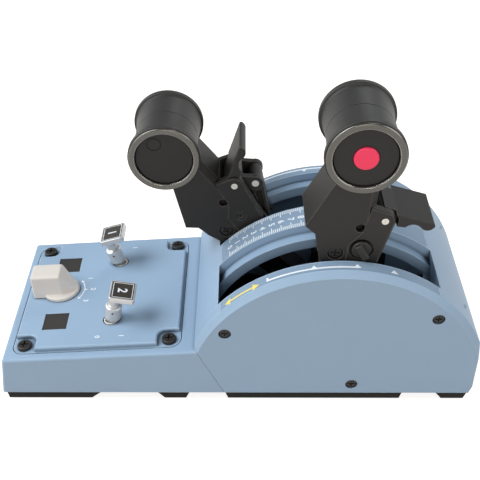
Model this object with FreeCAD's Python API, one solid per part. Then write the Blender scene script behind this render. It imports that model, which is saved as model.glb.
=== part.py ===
import FreeCAD
import Part
import math
import os

from FreeCAD import Rotation, Vector

os.makedirs("parts", exist_ok=True)

# Two-lever desktop throttle quadrant. Millimetres, +X forward, +Y to the left, +Z up.
# The origin is the centre of the footprint, on the surface that the feet stand on.

# ---- overall sizes
case_length = 262.7
case_width = 104.7
foot_height = 7.0
wall = 2.5
edge_round = 1.4
seam = 0.2
skirt_gap = 0.3

# ---- aft box that carries the engine panel
aft_top_height = 24.24
aft_draft = 3.1
deck_slope = 3.79
deck_wall = 3.4
front_foot_chamfer_x = 1.5
front_foot_chamfer_z = 5.0

# ---- drum that the levers run in
drum_half_length = 77.0
drum_crown = 7.0
drum_bevel_radius = 3.3
drum_bevel_width = 3.15
axis_above_case = 2.25

# ---- lever slots, measured outwards from the middle plane
band_half_width = 9.0
outer_band = 10.65
lever_share = 0.491
slot_half_width = 10.25
ledge_drop = 5.0
ledge_thick = 2.5
skirt_thick = 2.0
skirt_drop = 5.8
slot_aft_margin = 12.9
slot_front_margin = 24.3
strip_thick = 0.6
strip_gap = 0.05
strip_margin = 1.7
strip_side_margin = 0.8

# ---- side covers
seam_foot = 15.8
seam_top = 1.0

# ---- bottom tray and feet
tray_wall = 1.8
pad_thick = 1.0
pad_inset = 3.0
pad_width = 12.0
foot_side_inset = 1.6
tray_lip = 2.2
end_foot_inset = 1.6
aft_foot_share = 0.5225
short_foot_gap = 3.3
short_foot_length = 19.9
main_foot_aft = 0.797
main_foot_front = 0.508
front_foot_inset = 1.35
front_foot_length = 19.25
foot_toes = [(1.0, 7.4), (5.2, 2.7), (2.2, 1.7), (4.8, 2.0)]

# ---- engine panel, in deck coordinates: forward from the aft top edge, left, up
panel_aft = 4.6
panel_front_margin = 8.03
panel_side_margin = 5.15
panel_flange = 1.2
panel_raise = 3.0
panel_edge_inset = 1.0
panel_corner = 6.0
panel_groove = 0.4
pocket_x = 12.8
pocket_y = 11.6
pocket_round = 4.5
panel_screw_inset_x = 6.4
panel_screw_inset_y = 5.4
panel_screw_head = 4.0
window_gap = 1.7
window_inset = 21.9
window_size_x = 13.8
window_size_y = 13.4
selector_back = 1.0
selector_left = 1.6
toggle_share = 0.5687
toggle_inset = 21.3

# ---- levers
lever_width = 28.0
shank_width = 19.0
shoulder_drop = 2.5
knob_rise = 64.3
left_angle = -38.8
right_angle = 2.4
hub_radius = 5.6
bush_radius = 4.3
axle_radius = 3.0
running_clearance = 0.06
part_gap = 0.2

# ---- knob
knob_length = 44.0
ring_radius = 19.0
ring_width = 1.3
ring_bore = 15.6
flange_radius = 19.6
flange_width = 3.1
flange_round = 0.5
shoulder_radius = 18.1
shoulder_width = 1.2
shoulder_bevel = 0.4
barrel_waist_radius = 17.3
barrel_wall = 2.6
parting_line = 0.4
parting_depth = 0.2
cap_recess = 1.4
cap_seat = 3.5
cap_bevel = 0.45
button_radius = 6.0
button_stroke = 1.8
button_proud = 1.0
tang_inset = 10.8
tang_depth = 12.0
ring_roll = 0.7
cap_mark_x = 1.8
cap_mark_rise = 10.2
cap_mark_radius = 3.9
cap_mark_width = 0.4

# ---- reverse trigger and its lock rod: forward of the lever's line, and above the drum's top
pivot_x = 15.4
pivot_rise = 23.9
pivot_pin_radius = 1.8
trigger_raise = 47.0
trigger_reach = 25.4
cheek_thick = 4.0
crank_length = 11.7
crank_pin_radius = 2.0
lug_thick = 3.2
barrel_link_width = 12.0
rod_length = 30.0
rod_foot_x = 11.0
rod_half_top = 3.8
rod_half_foot = 2.4
rod_pocket = 3.0
rod_guide_half = 6.6
crank_eye = 4.4
trigger_hub = 4.8
trigger_gap_radius = 6.7
yoke_rise = 8.3
yoke_nose = 5.6
yoke_foot_drop = 13.0
yoke_chamfer = 1.0
web_front = 3.0
arm_front = 10.4
arm_chamfer = 3.6
shank_front = 1.8
shank_aft = -14.3
yoke_front = 15.1
yoke_back = 10.4
yoke_floor_rise = 2.0
arm_back = [(-17.4, 7.0), (-18.6, 14.6), (-24.1, 19.4)]
arm_neck_x = -11.6
arm_neck_drop = 19.2
arm_crown_x = -8.8
seam_bends = [(4.9, 16.3), (-1.4, 9.0)]
seam_top_forward = 7.8
seam_foot_forward = -1.8

# ---- latch knob on each lever
latch_x = 5.6
latch_rise = 6.2
latch_radius = 5.0
latch_scoop_radius = 6.4
latch_scoop_depth = 1.4
latch_shaft_radius = 2.0
latch_disc_thick = 2.4
latch_bar_height = 2.4
latch_bar_width = 3.4
latch_bar_turn = 58.0
latch_nut_radius = 2.6
lever_screw_x = -7.4
lever_screw_rise = 3.1
lever_screw_radius = 3.7
lever_hole_x = 3.6
lever_hole_rise = 19.2
lever_hole_radius = 2.5

# ---- detent arch under each lever
arch_drop = 20.6
arch_depth = 9.0
arch_thick = 4.0
arch_aft_angle = -56.0
arch_front_angle = 38.0
arch_slot_gap = 4.0

# ---- screws: radius of the thread, head, post and how far each reaches in
screw_radius = 1.5
screw_head_radius = 3.1
screw_head_depth = 2.0
screw_boss_radius = 3.4
cover_screw_length = 12.0
bottom_screw_grip = 10.0
panel_screw_grip = 7.0
panel_post = 8.0
cover_screw_inset = 10.05
cover_screw_angles = [-55.0, 44.3]
low_screw_x = 9.5
low_screw_z = 4.45
bottom_screw_inset_x = 12.35
bottom_screw_inset_y = 9.35
front_screw_inset_x = 10.35
front_screw_inset_y = 16.35

# ---- panel switches, heights in deck coordinates
panel_bevel = 0.7
window_sink = 0.4
bushing_radius = 4.6
bushing_collar = 3.9
bushing_seat = 0.8
bushing_mouth = 3.3
bushing_bore = 2.9
bushing_depth = 4.2
bushing_proud = 0.3
switch_length = 13.0
switch_width = 8.0
switch_height = 9.0
toggle_pivot = -0.8
toggle_ball = 2.7
toggle_pin_radius = 0.8
toggle_neck = 2.1
toggle_collar = 4.6
toggle_collar_low = 5.0
toggle_collar_top = 14.2
toggle_post = 2.9
toggle_head_height = 22.2
toggle_head_thick = 3.4
toggle_head_x = 14.2
toggle_head_y = 15.4
toggle_head_forward = 4.1
toggle_lean = 13.0
label_border = 0.9
label_thick = 0.9
label_gap = 0.05
selector_disc = 10.6
selector_disc_thick = 2.2
selector_height = 15.2
selector_bar = 12.8
selector_tail = 15.6
selector_break = 1.6
selector_nose = 1.3
selector_round = 1.4
selector_shaft_radius = 3.0
selector_depth = 8.0
selector_body = 7.4

# ---- inside
board_thick = 1.6
board_half = 24.0
board_length = 26.0
chip_a = [-30.0, -21.0, -5.0, 4.0, 1.2]
chip_b = [-22.0, -17.0, 8.0, 16.0, 2.0]
sensor_aft = 8.0
sensor_front = 5.5
sensor_low = 3.5
sensor_chip = 2.5
sensor_chip_thick = 1.3
sensor_chip_low = 6.0
axle_overhang = 1.1
bracket_gap = 12.7
bracket_thick = 4.0
bracket_half = 13.0
bracket_height = 28.0
bracket_flange = 2.4
inner_bracket_gap = 15.3
detent_angles = [-29.4, -10.0, 11.8, 24.0, 35.6]
arch_leg = 7.0
ballast_half = 30.0
ballast_thick = 3.0

# ---- socket for the computer lead, in the front wall
usb_width = 9.0
usb_height = 3.3
usb_depth = 7.5
usb_z = 20.0

front_x = case_length / 2
aft_x = -case_length / 2
case_floor = foot_height
half_width = case_width / 2
axis_x = front_x - drum_half_length
axis_z = case_floor + axis_above_case
drum_aft_x = axis_x - drum_half_length
drum_radius = drum_half_length + drum_crown
ledge_radius = drum_radius - ledge_drop
skirt_radius = ledge_radius - skirt_drop
slot_aft = slot_aft_margin - drum_half_length
slot_front = drum_half_length - slot_front_margin
slot_outer = half_width - outer_band
lever_offset = half_width * lever_share

deck_origin = Vector(aft_x + aft_draft, 0, case_floor + aft_top_height)
deck_turn = Rotation(Vector(0, 1, 0), -deck_slope)
deck_length = (drum_aft_x - deck_origin.x) / math.cos(math.radians(deck_slope))
panel_front = deck_length - panel_front_margin
panel_length = panel_front - panel_aft
panel_half_width = half_width - panel_side_margin
window_x = panel_aft + pocket_x + window_gap + window_size_x / 2
window_y = panel_half_width - window_inset
selector_x = window_x - selector_back
toggle_x = panel_aft + toggle_share * panel_length
toggle_y = panel_half_width - toggle_inset

tray_floor = pad_thick + tray_wall
tray_top = foot_height + 1.6
foot_tops = [(aft_x + end_foot_inset, aft_x + aft_foot_share * (drum_aft_x - aft_x)),
             (drum_aft_x - short_foot_gap - short_foot_length, drum_aft_x - short_foot_gap),
             (axis_x - main_foot_aft * drum_half_length, axis_x + main_foot_front * drum_half_length),
             (front_x - front_foot_inset - front_foot_length, front_x - front_foot_inset)]

knob_height = drum_radius + knob_rise
tang_width = knob_length - 2 * tang_inset
pivot = Vector(pivot_x, 0, drum_radius + pivot_rise)
latch = Vector(latch_x, 0, drum_radius + latch_rise)
lever_screw = Vector(lever_screw_x, 0, drum_radius + lever_screw_rise)
lever_hole = Vector(lever_hole_x, 0, drum_radius + lever_hole_rise)
shank_shoulder = drum_radius - shoulder_drop
yoke_top = pivot.z + yoke_rise
yoke_foot = drum_radius - yoke_foot_drop
yoke_floor = drum_radius + yoke_floor_rise
arch_outer = drum_radius - arch_drop
bracket_y = lever_offset + bracket_gap
inner_bracket_y = lever_offset - inner_bracket_gap
axle_half = bracket_y + bracket_thick + axle_overhang

screw_reach = drum_radius - cover_screw_inset
upper_cover_screws = [(axis_x + screw_reach * math.sin(math.radians(angle)),
                       axis_z + screw_reach * math.cos(math.radians(angle))) for angle in cover_screw_angles]
lower_cover_screws = [(axis_x + low_screw_x, axis_z + low_screw_z)]
bottom_screw_places = [(aft_x + bottom_screw_inset_x, half_width - bottom_screw_inset_y),
                       (drum_aft_x - bottom_screw_inset_x, half_width - bottom_screw_inset_y),
                       (front_x - front_screw_inset_x, half_width - front_screw_inset_y)]
big = 400.0
up = Vector(0, 0, 1)
left = Vector(0, 1, 0)
forward = Vector(1, 0, 0)


def deck_height(x):
    """Height of the sloping deck above the ground at a given x."""
    return deck_origin.z + (x - deck_origin.x) * math.tan(math.radians(deck_slope))


def block(x0, x1, y0, y1, z0, z1):
    return Part.makeBox(x1 - x0, y1 - y0, z1 - z0, Vector(x0, y0, z0))


def prism_y(points, y0, y1):
    """Closed outline of (x, z) points, extruded from y0 to y1."""
    loop = [Vector(x, y0, z) for x, z in points]
    face = Part.Face(Part.makePolygon(loop + loop[:1]))
    return face.extrude(Vector(0, y1 - y0, 0))


def prism_z(points, z0, z1):
    """Closed outline of (x, y) points, extruded from z0 to z1."""
    loop = [Vector(x, y, z0) for x, y in points]
    face = Part.Face(Part.makePolygon(loop + loop[:1]))
    return face.extrude(Vector(0, 0, z1 - z0))


def rod_y(radius, y0, y1, x=0.0, z=0.0):
    return Part.makeCylinder(radius, y1 - y0, Vector(x, y0, z), left)


def rod_z(radius, z0, z1, x=0.0, y=0.0):
    return Part.makeCylinder(radius, z1 - z0, Vector(x, y, z0), up)


def ring_y(inner, outer, y0, y1):
    return rod_y(outer, y0, y1).cut(rod_y(inner, y0 - 1, y1 + 1))


def lathe_y(points):
    """Closed outline of (y, radius) points, turned about the Y axis."""
    loop = [Vector(r, y, 0) for y, r in points]
    face = Part.Face(Part.makePolygon(loop + loop[:1]))
    return face.revolve(Vector(0, 0, 0), left, 360)


def lathe_z(points):
    """Closed outline of (radius, z) points, turned about the Z axis."""
    loop = [Vector(r, 0, z) for r, z in points]
    face = Part.Face(Part.makePolygon(loop + loop[:1]))
    return face.revolve(Vector(0, 0, 0), up, 360)


def join(shapes):
    result = shapes[0]
    for shape in shapes[1:]:
        result = result.fuse(shape)
    return result.removeSplitter()


def mirror_y(shape):
    return shape.mirror(Vector(0, 0, 0), left)


def both_sides(shape):
    return [shape, mirror_y(shape)]


def rounded_plate(x0, x1, half_y, z0, z1, radius):
    plate = block(x0, x1, -half_y, half_y, z0, z1)
    return plate.makeFillet(radius, edges_along(plate, up))


def edges_along(shape, direction):
    """Straight edges of a shape that run along a direction."""
    found = []
    for edge in shape.Edges:
        if edge.Curve.TypeId != "Part::GeomLine":
            continue
        along = edge.tangentAt(edge.FirstParameter)
        if abs(along.dot(direction)) > 0.999:
            found.append(edge)
    return found


def at_axis(shape):
    """Move a shape from lever-axis coordinates to the model."""
    shape = shape.copy()
    shape.translate(Vector(axis_x, 0, axis_z))
    return shape


def on_deck(shape):
    """Move a shape from deck coordinates to the model."""
    shape = shape.copy()
    shape.Placement = FreeCAD.Placement(deck_origin, deck_turn).multiply(shape.Placement)
    return shape


def save(name, solids):
    """Write one named sub-part, which may be several separate solids."""
    shape = solids[0] if len(solids) == 1 else Part.makeCompound(solids)
    shape.exportStep("parts/" + name + ".step")


# ---------------------------------------------------------------- casing

def drum_outline(radius, half_length, floor):
    """Drum section about the lever axis: upright end walls under one round top."""
    shoulder = math.sqrt(radius ** 2 - half_length ** 2)
    lower = [Vector(-half_length, 0, shoulder), Vector(-half_length, 0, floor),
             Vector(half_length, 0, floor), Vector(half_length, 0, shoulder)]
    edges = [Part.makeLine(a, b) for a, b in zip(lower, lower[1:])]
    top = Part.Arc(lower[3], Vector(0, 0, radius), lower[0]).toShape()
    return Part.Face(Part.Wire(edges + [top]))


def drum_prism(radius, half_length, floor, y0, y1):
    face = drum_outline(radius, half_length, floor)
    face.translate(Vector(0, y0, 0))
    return face.extrude(Vector(0, y1 - y0, 0))


def base_block(inset, top_inset, floor):
    """Aft box, full width, from the aft wall to under the drum."""
    reach = axis_x
    aft_foot = aft_x + inset
    aft_top = deck_origin.x + inset
    top = deck_height(aft_top) - top_inset
    far_top = deck_height(reach) - top_inset
    outline = [(aft_foot, floor), (aft_top, top), (reach, far_top), (reach, floor)]
    return prism_y(outline, -half_width + inset, half_width - inset)


def cover_region(y0, grow):
    """Space that a side cover takes from the casing, grown by the seam gap."""
    top = deck_height(drum_aft_x)
    low, high = drum_aft_x + seam_foot - grow, drum_aft_x + seam_top - grow
    outline = [(low, case_floor - 20), (low, case_floor), (high, top), (drum_aft_x - grow, top + grow),
               (drum_aft_x - grow, big),
               (big, big), (big, case_floor - 20)]
    return prism_y(outline, y0, half_width + 20)


def front_chamfer():
    """Wedge cut from the foot of the front wall."""
    outline = [(front_x, case_floor + front_foot_chamfer_z), (front_x + 5, case_floor + front_foot_chamfer_z),
               (front_x + 5, case_floor - 5), (front_x - front_foot_chamfer_x, case_floor - 5),
               (front_x - front_foot_chamfer_x, case_floor)]
    return prism_y(outline, -big, big)


def slot_section():
    """Turned section of one slot: half the middle band, both ledges and their skirts."""
    inner_edge = lever_offset - slot_half_width
    outer_edge = lever_offset + slot_half_width
    under = ledge_radius - ledge_thick
    skin = drum_radius - wall
    inner = [(0, skin), (0, drum_radius), (band_half_width, drum_radius), (band_half_width, ledge_radius),
             (inner_edge, ledge_radius), (inner_edge, skirt_radius), (inner_edge - skirt_thick, skirt_radius),
             (inner_edge - skirt_thick, under), (band_half_width - skirt_thick, under),
             (band_half_width - skirt_thick, skin)]
    far_edge = slot_outer + 2 * skirt_thick
    outer = [(outer_edge, skirt_radius), (outer_edge, ledge_radius), (far_edge, ledge_radius),
             (far_edge, under), (outer_edge + skirt_thick, under),
             (outer_edge + skirt_thick, skirt_radius)]
    return lathe_y(inner), lathe_y(outer)


def slot_zone():
    """Drum top between the slot ends, with an end wall at each end."""
    slab = block(slot_aft - skirt_thick, slot_front + skirt_thick, -big, big, 10, big)
    parts = []
    for ring in slot_section():
        parts += both_sides(ring.common(slab))
    tube = ring_y(skirt_radius, drum_radius, -slot_outer, slot_outer)
    far_edge = slot_outer + 2 * skirt_thick
    wide_tube = ring_y(skirt_radius, ledge_radius, -far_edge, far_edge)
    for x0, x1 in ((slot_aft - skirt_thick, slot_aft), (slot_front, slot_front + skirt_thick)):
        end = block(x0, x1, -big, big, 10, big)
        parts += [tube.common(end), wide_tube.common(end)]
    return join(parts)


def strip_ring(y0, y1, grow):
    """Shallow curved strip let into the drum's round top."""
    y_low, y_high = y0 - grow, y1 + grow
    ring = ring_y(drum_radius - strip_thick, drum_radius + grow * big, y_low, y_high)
    slab = block(slot_aft + strip_margin - grow, slot_front - strip_margin + grow, -big, big, 10, big)
    return at_axis(ring.common(slab))


def centre_strip(grow=0.0):
    reach = band_half_width - strip_side_margin
    return strip_ring(-reach, reach, grow)


def side_strip(grow=0.0):
    return strip_ring(slot_outer + strip_side_margin, half_width - drum_bevel_width - seam, grow)


def panel_hole():
    """Recess that the panel flange sits in, and the opening below it."""
    recess = rounded_plate(panel_aft - panel_groove, panel_front + panel_groove,
                           panel_half_width + panel_groove, -panel_flange, 10, panel_corner + panel_groove)
    opening = block(panel_aft + pocket_x, panel_front - pocket_x, -panel_half_width + pocket_y,
                    panel_half_width - pocket_y, -20, 1)
    return on_deck(recess), on_deck(opening)


def panel_screw_places():
    for x in (panel_aft + panel_screw_inset_x, panel_front - panel_screw_inset_x):
        for y in (-panel_half_width + panel_screw_inset_y, panel_half_width - panel_screw_inset_y):
            yield x, y


def side_boss(x, z, y0):
    """Post on the left side that a cover screw runs into."""
    return rod_y(screw_boss_radius, y0, half_width - wall, x, z)


def main_casing():
    box = base_block(0, 0, case_floor)
    rim = [edge for edge in box.Edges
           if edge.CenterOfMass.x < axis_x - 1 and edge.CenterOfMass.z > case_floor + 1]
    box = box.makeFillet(edge_round, rim)
    region = cover_region(slot_outer, seam)
    box = box.cut(region).cut(mirror_y(region))
    drum = at_axis(drum_prism(drum_radius, drum_half_length, -axis_above_case, -slot_outer, slot_outer))
    hollow_box = base_block(wall, deck_wall, case_floor - 1)
    inside = half_width - wall
    hollow_drum = drum_prism(drum_radius - wall, drum_half_length - wall, -axis_above_case - 1,
                             -inside, inside)
    shell = join([box, drum]).cut(hollow_box).cut(at_axis(hollow_drum)).cut(front_chamfer())
    slab = block(slot_aft - skirt_thick, slot_front + skirt_thick, -big, big, 10, big)
    top = ring_y(skirt_radius, drum_radius + 5, -slot_outer - 10, slot_outer + 10).common(slab)
    shell = join([shell.cut(at_axis(top)), at_axis(slot_zone())])
    recess, opening = panel_hole()
    shell = shell.cut(recess).cut(opening).cut(centre_strip(strip_gap))
    posts = []
    for x, z in upper_cover_screws:
        posts += both_sides(side_boss(x, z, lever_offset + slot_half_width + skirt_thick / 2))
    for x, y in bottom_screw_places:
        top_z = deck_height(x) - deck_wall + 0.5
        if x > drum_aft_x:
            top_z = axis_z + math.sqrt((drum_radius - wall + 0.5) ** 2 - (x - axis_x) ** 2)
        posts += both_sides(rod_z(screw_boss_radius, tray_top, top_z, x, y))
    for x, y in panel_screw_places():
        posts.append(on_deck(rod_z(screw_boss_radius, -panel_post, -panel_flange, x, y)))
    shell = join([shell] + posts)
    for x, z in upper_cover_screws:
        shell = cut_both(shell, rod_y(screw_radius, half_width - cover_screw_length, half_width, x, z))
    for x, y in bottom_screw_places:
        shell = cut_both(shell, rod_z(screw_radius, case_floor - 10, case_floor + bottom_screw_grip, x, y))
    for x, y in panel_screw_places():
        shell = shell.cut(on_deck(rod_z(screw_radius, -panel_screw_grip, 10, x, y)))
    return shell.cut(usb_shell(seam))


def cut_both(shape, tool):
    return shape.cut(tool).cut(mirror_y(tool))


def side_cover():
    """Left side cover: side wall, bevelled round edge and the outer band of the drum."""
    reach = half_width - drum_bevel_width
    skin = drum_radius - wall
    section = [(slot_outer, ledge_radius + seam), (slot_outer, drum_radius), (reach, drum_radius),
               (half_width, drum_radius - drum_bevel_radius), (half_width, 0), (half_width - wall, 0),
               (half_width - wall, skin - wall), (reach - wall / 2, skin), (slot_outer + skirt_thick, skin),
               (slot_outer + skirt_thick, ledge_radius + seam)]
    cover = at_axis(lathe_y(section))
    slope = cover_region(slot_outer, 0)
    ends = block(drum_aft_x, front_x, -big, big, case_floor, big)
    cover = cover.common(slope).common(ends)
    lip = ring_y(drum_radius - wall, drum_radius, slot_outer, slot_outer + skirt_thick)
    walls = [block(drum_aft_x, drum_aft_x + wall, slot_outer, half_width, case_floor, big),
             block(front_x - wall, front_x, slot_outer, half_width, case_floor, big)]
    solid = at_axis(lathe_y([(slot_outer, 0), (slot_outer, drum_radius), (reach, drum_radius),
                             (half_width, drum_radius - drum_bevel_radius), (half_width, 0)]))
    for shape in walls:
        cover = cover.fuse(shape.common(solid).common(slope))
    cover = cover.fuse(at_axis(lip).common(ends).common(slope)).cut(front_chamfer())
    cover = join([cover]).cut(side_strip(strip_gap))
    for x, z in upper_cover_screws + lower_cover_screws:
        cover = cover.cut(rod_y(screw_head_radius + 0.3, half_width - screw_head_depth, half_width + 1, x, z))
        cover = cover.cut(rod_y(screw_radius, slot_outer, half_width + 1, x, z))
    return cover


def cross_screw(length, head_radius, head_height):
    """Screw along -Z from the underside of its head, with a cross recess."""
    head = rod_z(head_radius, 0, head_height)
    top_edges = [edge for edge in head.Edges if abs(edge.CenterOfMass.z - head_height) < 1e-6]
    head = head.makeFillet(head_height * 0.35, top_edges[:1])
    arm = head_radius * 0.62
    slit = head_radius * 0.13
    depth = head_height * 0.6
    for box in (block(-arm, arm, -slit, slit, head_height - depth, 9), block(-slit, slit, -arm, arm,
                head_height - depth, 9)):
        head = head.cut(box)
    return join([head, rod_z(screw_radius, -length, 0.01)])


def cover_screws():
    solids = []
    screw = cross_screw(cover_screw_length - screw_head_depth, screw_head_radius, screw_head_depth - 0.6)
    screw.rotate(Vector(0, 0, 0), forward, -90)
    for x, z in upper_cover_screws + lower_cover_screws:
        placed = screw.copy()
        placed.translate(Vector(x, half_width - screw_head_depth, z))
        solids += both_sides(placed)
    return solids


# ---------------------------------------------------------------- bottom

def foot_outline(index, inset=0.0, floor=pad_thick):
    (top_aft, top_front), (aft_toe, front_toe) = foot_tops[index], foot_toes[index]
    return [(top_aft + inset, case_floor + 1), (top_aft + inset, case_floor),
            (top_aft + aft_toe + inset, floor), (top_front - front_toe - inset, floor),
            (top_front - inset, case_floor), (top_front - inset, case_floor + 1)]


def bottom_tray():
    """Moulded bottom: a plate that closes the casing, with four hollow feet across it."""
    reach = half_width - wall - seam
    plate = block(aft_x + aft_draft + wall, front_x - wall - seam, -reach, reach, case_floor - tray_lip / 2,
                  tray_top)
    inside = reach - tray_wall
    feet, pits = [], []
    side = half_width - foot_side_inset
    for index in range(len(foot_tops)):
        foot = prism_y(foot_outline(index), -side, side)
        feet.append(foot.common(block(-big, big, -side, side, 0, case_floor - skirt_gap / 3)))
        pits.append(prism_y(foot_outline(index, tray_wall, tray_floor), -inside, inside))
    tray = join([plate] + feet)
    for index, pit in enumerate(pits):
        top_aft, top_front = foot_tops[index]
        start = max(top_aft, plate.BoundBox.XMin) + tray_wall
        mouth = block(start, top_front - tray_wall, -inside, inside, case_floor, tray_top + 1)
        tray = tray.cut(pit).cut(mouth)
    for x, y in bottom_screw_places:
        post = rod_z(screw_boss_radius + 0.8, pad_thick + 0.01, tray_top, x, y)
        tray = join([tray] + both_sides(post))
        tray = cut_both(tray, rod_z(screw_radius, 0, 30, x, y))
        tray = cut_both(tray, rod_z(screw_head_radius + 0.3, 0, case_floor - 2, x, y))
    board_foot = usb_z - usb_height / 2 - board_thick
    posts = [rod_z(3.0, z0, board_foot, x, y) for x, z0 in ((front_x - 31, tray_top - 0.5),
             (front_x - 7, tray_floor - 0.5)) for y in (-board_half + 4, board_half - 4)]
    return join([tray] + posts)


def rubber_pads():
    pads = []
    for index in range(len(foot_tops)):
        outline = foot_outline(index)
        x0, x1 = outline[2][0] + pad_inset, outline[3][0] - pad_inset
        pad = block(x0, x1, half_width - foot_side_inset - pad_inset - pad_width,
                    half_width - foot_side_inset - pad_inset, 0, pad_thick)
        pad = pad.makeFillet(min(pad_width, x1 - x0) * 0.3, edges_along(pad, up))
        pads += both_sides(pad)
    return pads


def bottom_screws():
    solids = []
    screw = cross_screw(bottom_screw_grip, screw_head_radius, screw_head_depth - 0.6)
    screw.rotate(Vector(0, 0, 0), forward, 180)
    for x, y in bottom_screw_places:
        placed = screw.copy()
        placed.translate(Vector(x, y, case_floor - 2))
        solids += both_sides(placed)
    return solids


# ---------------------------------------------------------------- engine panel

def panel_plate():
    """Raised plate with a thin flange that shows only at its four screwed corners."""
    flange = rounded_plate(panel_aft, panel_front, panel_half_width, -panel_flange, 0, panel_corner)
    top = rounded_plate(panel_aft + panel_edge_inset, panel_front - panel_edge_inset,
                        panel_half_width - panel_edge_inset, -0.1, panel_raise, panel_corner)
    for x_out, x_in in ((panel_aft, panel_aft + pocket_x), (panel_front, panel_front - pocket_x)):
        for side in (-1, 1):
            y_out, y_in = side * panel_half_width, side * (panel_half_width - pocket_y)
            x_far, y_far = x_out + (5 if x_out > x_in else -5), y_out + side * 5
            x_low, x_high = sorted((x_far, x_in))
            y_low, y_high = sorted((y_far, y_in))
            pocket = block(x_low, x_high, y_low, y_high, 0, 10)
            corner = [edge for edge in edges_along(pocket, up)
                      if abs(edge.CenterOfMass.x - x_in) < 1e-6 and abs(edge.CenterOfMass.y - y_in) < 1e-6]
            top = top.cut(pocket.makeFillet(pocket_round, corner))
    rim = [edge for edge in top.Edges if abs(edge.CenterOfMass.z - panel_raise) < 1e-6]
    top = top.makeChamfer(panel_bevel, rim)
    plate = join([flange, top])
    for x, y in panel_screw_places():
        plate = plate.cut(rod_z(screw_radius + 0.1, -10, 10, x, y))
    for side in (-1, 1):
        y = side * window_y
        plate = plate.cut(block(window_x - window_size_x / 2, window_x + window_size_x / 2,
                                y - window_size_y / 2, y + window_size_y / 2, -10, 10))
        plate = plate.cut(rod_z(bushing_radius, -10, 10, toggle_x, side * toggle_y))
    return plate.cut(rod_z(selector_shaft_radius + running_clearance, -10, 10, selector_x, selector_left))


def panel_windows():
    """Dark lenses, each a flush pane with a wider foot behind the plate."""
    panes = []
    for side in (-1, 1):
        y = side * window_y
        pane = block(window_x - window_size_x / 2, window_x + window_size_x / 2, y - window_size_y / 2,
                     y + window_size_y / 2, -panel_flange, panel_raise - window_sink)
        foot = block(window_x - window_size_x / 2 - 1, window_x + window_size_x / 2 + 1,
                     y - window_size_y / 2 - 1, y + window_size_y / 2 + 1, -panel_flange - 1, -panel_flange)
        panes.append(join([pane, foot]))
    return panes


def panel_screws():
    screw = cross_screw(panel_screw_grip, panel_screw_head, panel_raise * 0.75)
    solids = []
    for x, y in panel_screw_places():
        placed = screw.copy()
        placed.translate(Vector(x, y, 0))
        solids.append(placed)
    return solids


def toggle_bushing():
    """Threaded bushing with a coned mouth that the toggle swings in."""
    top = panel_raise + bushing_proud
    return lathe_z([(bushing_bore, -bushing_depth), (bushing_radius, -bushing_depth),
                    (bushing_radius, bushing_seat), (bushing_collar, bushing_seat), (bushing_collar, top),
                    (bushing_mouth, top), (bushing_bore, bushing_seat)])


def toggle_switch():
    """Switch case under the panel: block, mounting collar and three solder tags."""
    foot = -bushing_depth - switch_height
    case = block(-switch_length / 2, switch_length / 2, -switch_width / 2, switch_width / 2,
                 foot, -bushing_depth)
    pitch = switch_length / 3
    tags = [block(x - 0.4, x + 0.4, -1, 1, foot - 4, foot + 1) for x in (-pitch, 0, pitch)]
    return join([case] + tags)


def toggle_stem():
    """Ball end, slim neck, collar with a set screw, and a square head set forward of the post."""
    edge = 0.5
    stem = lathe_z([(0, toggle_pivot - toggle_ball), (toggle_ball * 0.7, toggle_pivot - toggle_ball * 0.7),
                    (toggle_ball, toggle_pivot), (toggle_ball * 0.8, toggle_pivot + toggle_ball * 0.6),
                    (toggle_neck, toggle_pivot + toggle_ball), (toggle_neck, toggle_collar_low),
                    (toggle_collar - edge, toggle_collar_low), (toggle_collar, toggle_collar_low + edge),
                    (toggle_collar, toggle_collar_top - edge), (toggle_collar - edge, toggle_collar_top),
                    (toggle_post, toggle_collar_top + edge), (toggle_post, toggle_head_height + edge),
                    (0, toggle_head_height + edge)])
    pin = rod_y(toggle_pin_radius, -toggle_ball - 0.1, toggle_ball + 0.1, 0, toggle_pivot)
    stem = stem.cut(rod_y(0.7, -toggle_collar, -toggle_collar * 0.3, 0, toggle_collar_top - 3))
    head = block(-toggle_head_x / 2, toggle_head_x / 2, -toggle_head_y / 2, toggle_head_y / 2,
                 toggle_head_height, toggle_head_height + toggle_head_thick)
    head = head.makeFillet(1.6, edges_along(head, up))
    rim = [edge for edge in head.Edges if edge.BoundBox.ZLength < 1e-6]
    head = head.makeFillet(0.5, rim)
    head.translate(Vector(toggle_head_forward, 0, 0))
    return join([stem, pin, head]).cut(label_block(0, big))


def label_block(gap, top):
    """Label area on the head, shrunk by a gap all round, up to a given height."""
    half_x = toggle_head_x / 2 - label_border - gap
    half_y = toggle_head_y / 2 - label_border - gap
    return block(toggle_head_forward - half_x, toggle_head_forward + half_x, -half_y, half_y,
                 toggle_head_height + toggle_head_thick - label_thick, top)


def toggle_label():
    return label_block(label_gap, toggle_head_height + toggle_head_thick - 0.15)


def place_toggle(shape, side, lean):
    """Lean a toggle about its pivot and put it on the deck; positive lean is forward."""
    shape = shape.copy()
    shape.rotate(Vector(0, 0, toggle_pivot), left, lean)
    shape.translate(Vector(toggle_x, side * toggle_y, 0))
    return on_deck(shape)


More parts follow.
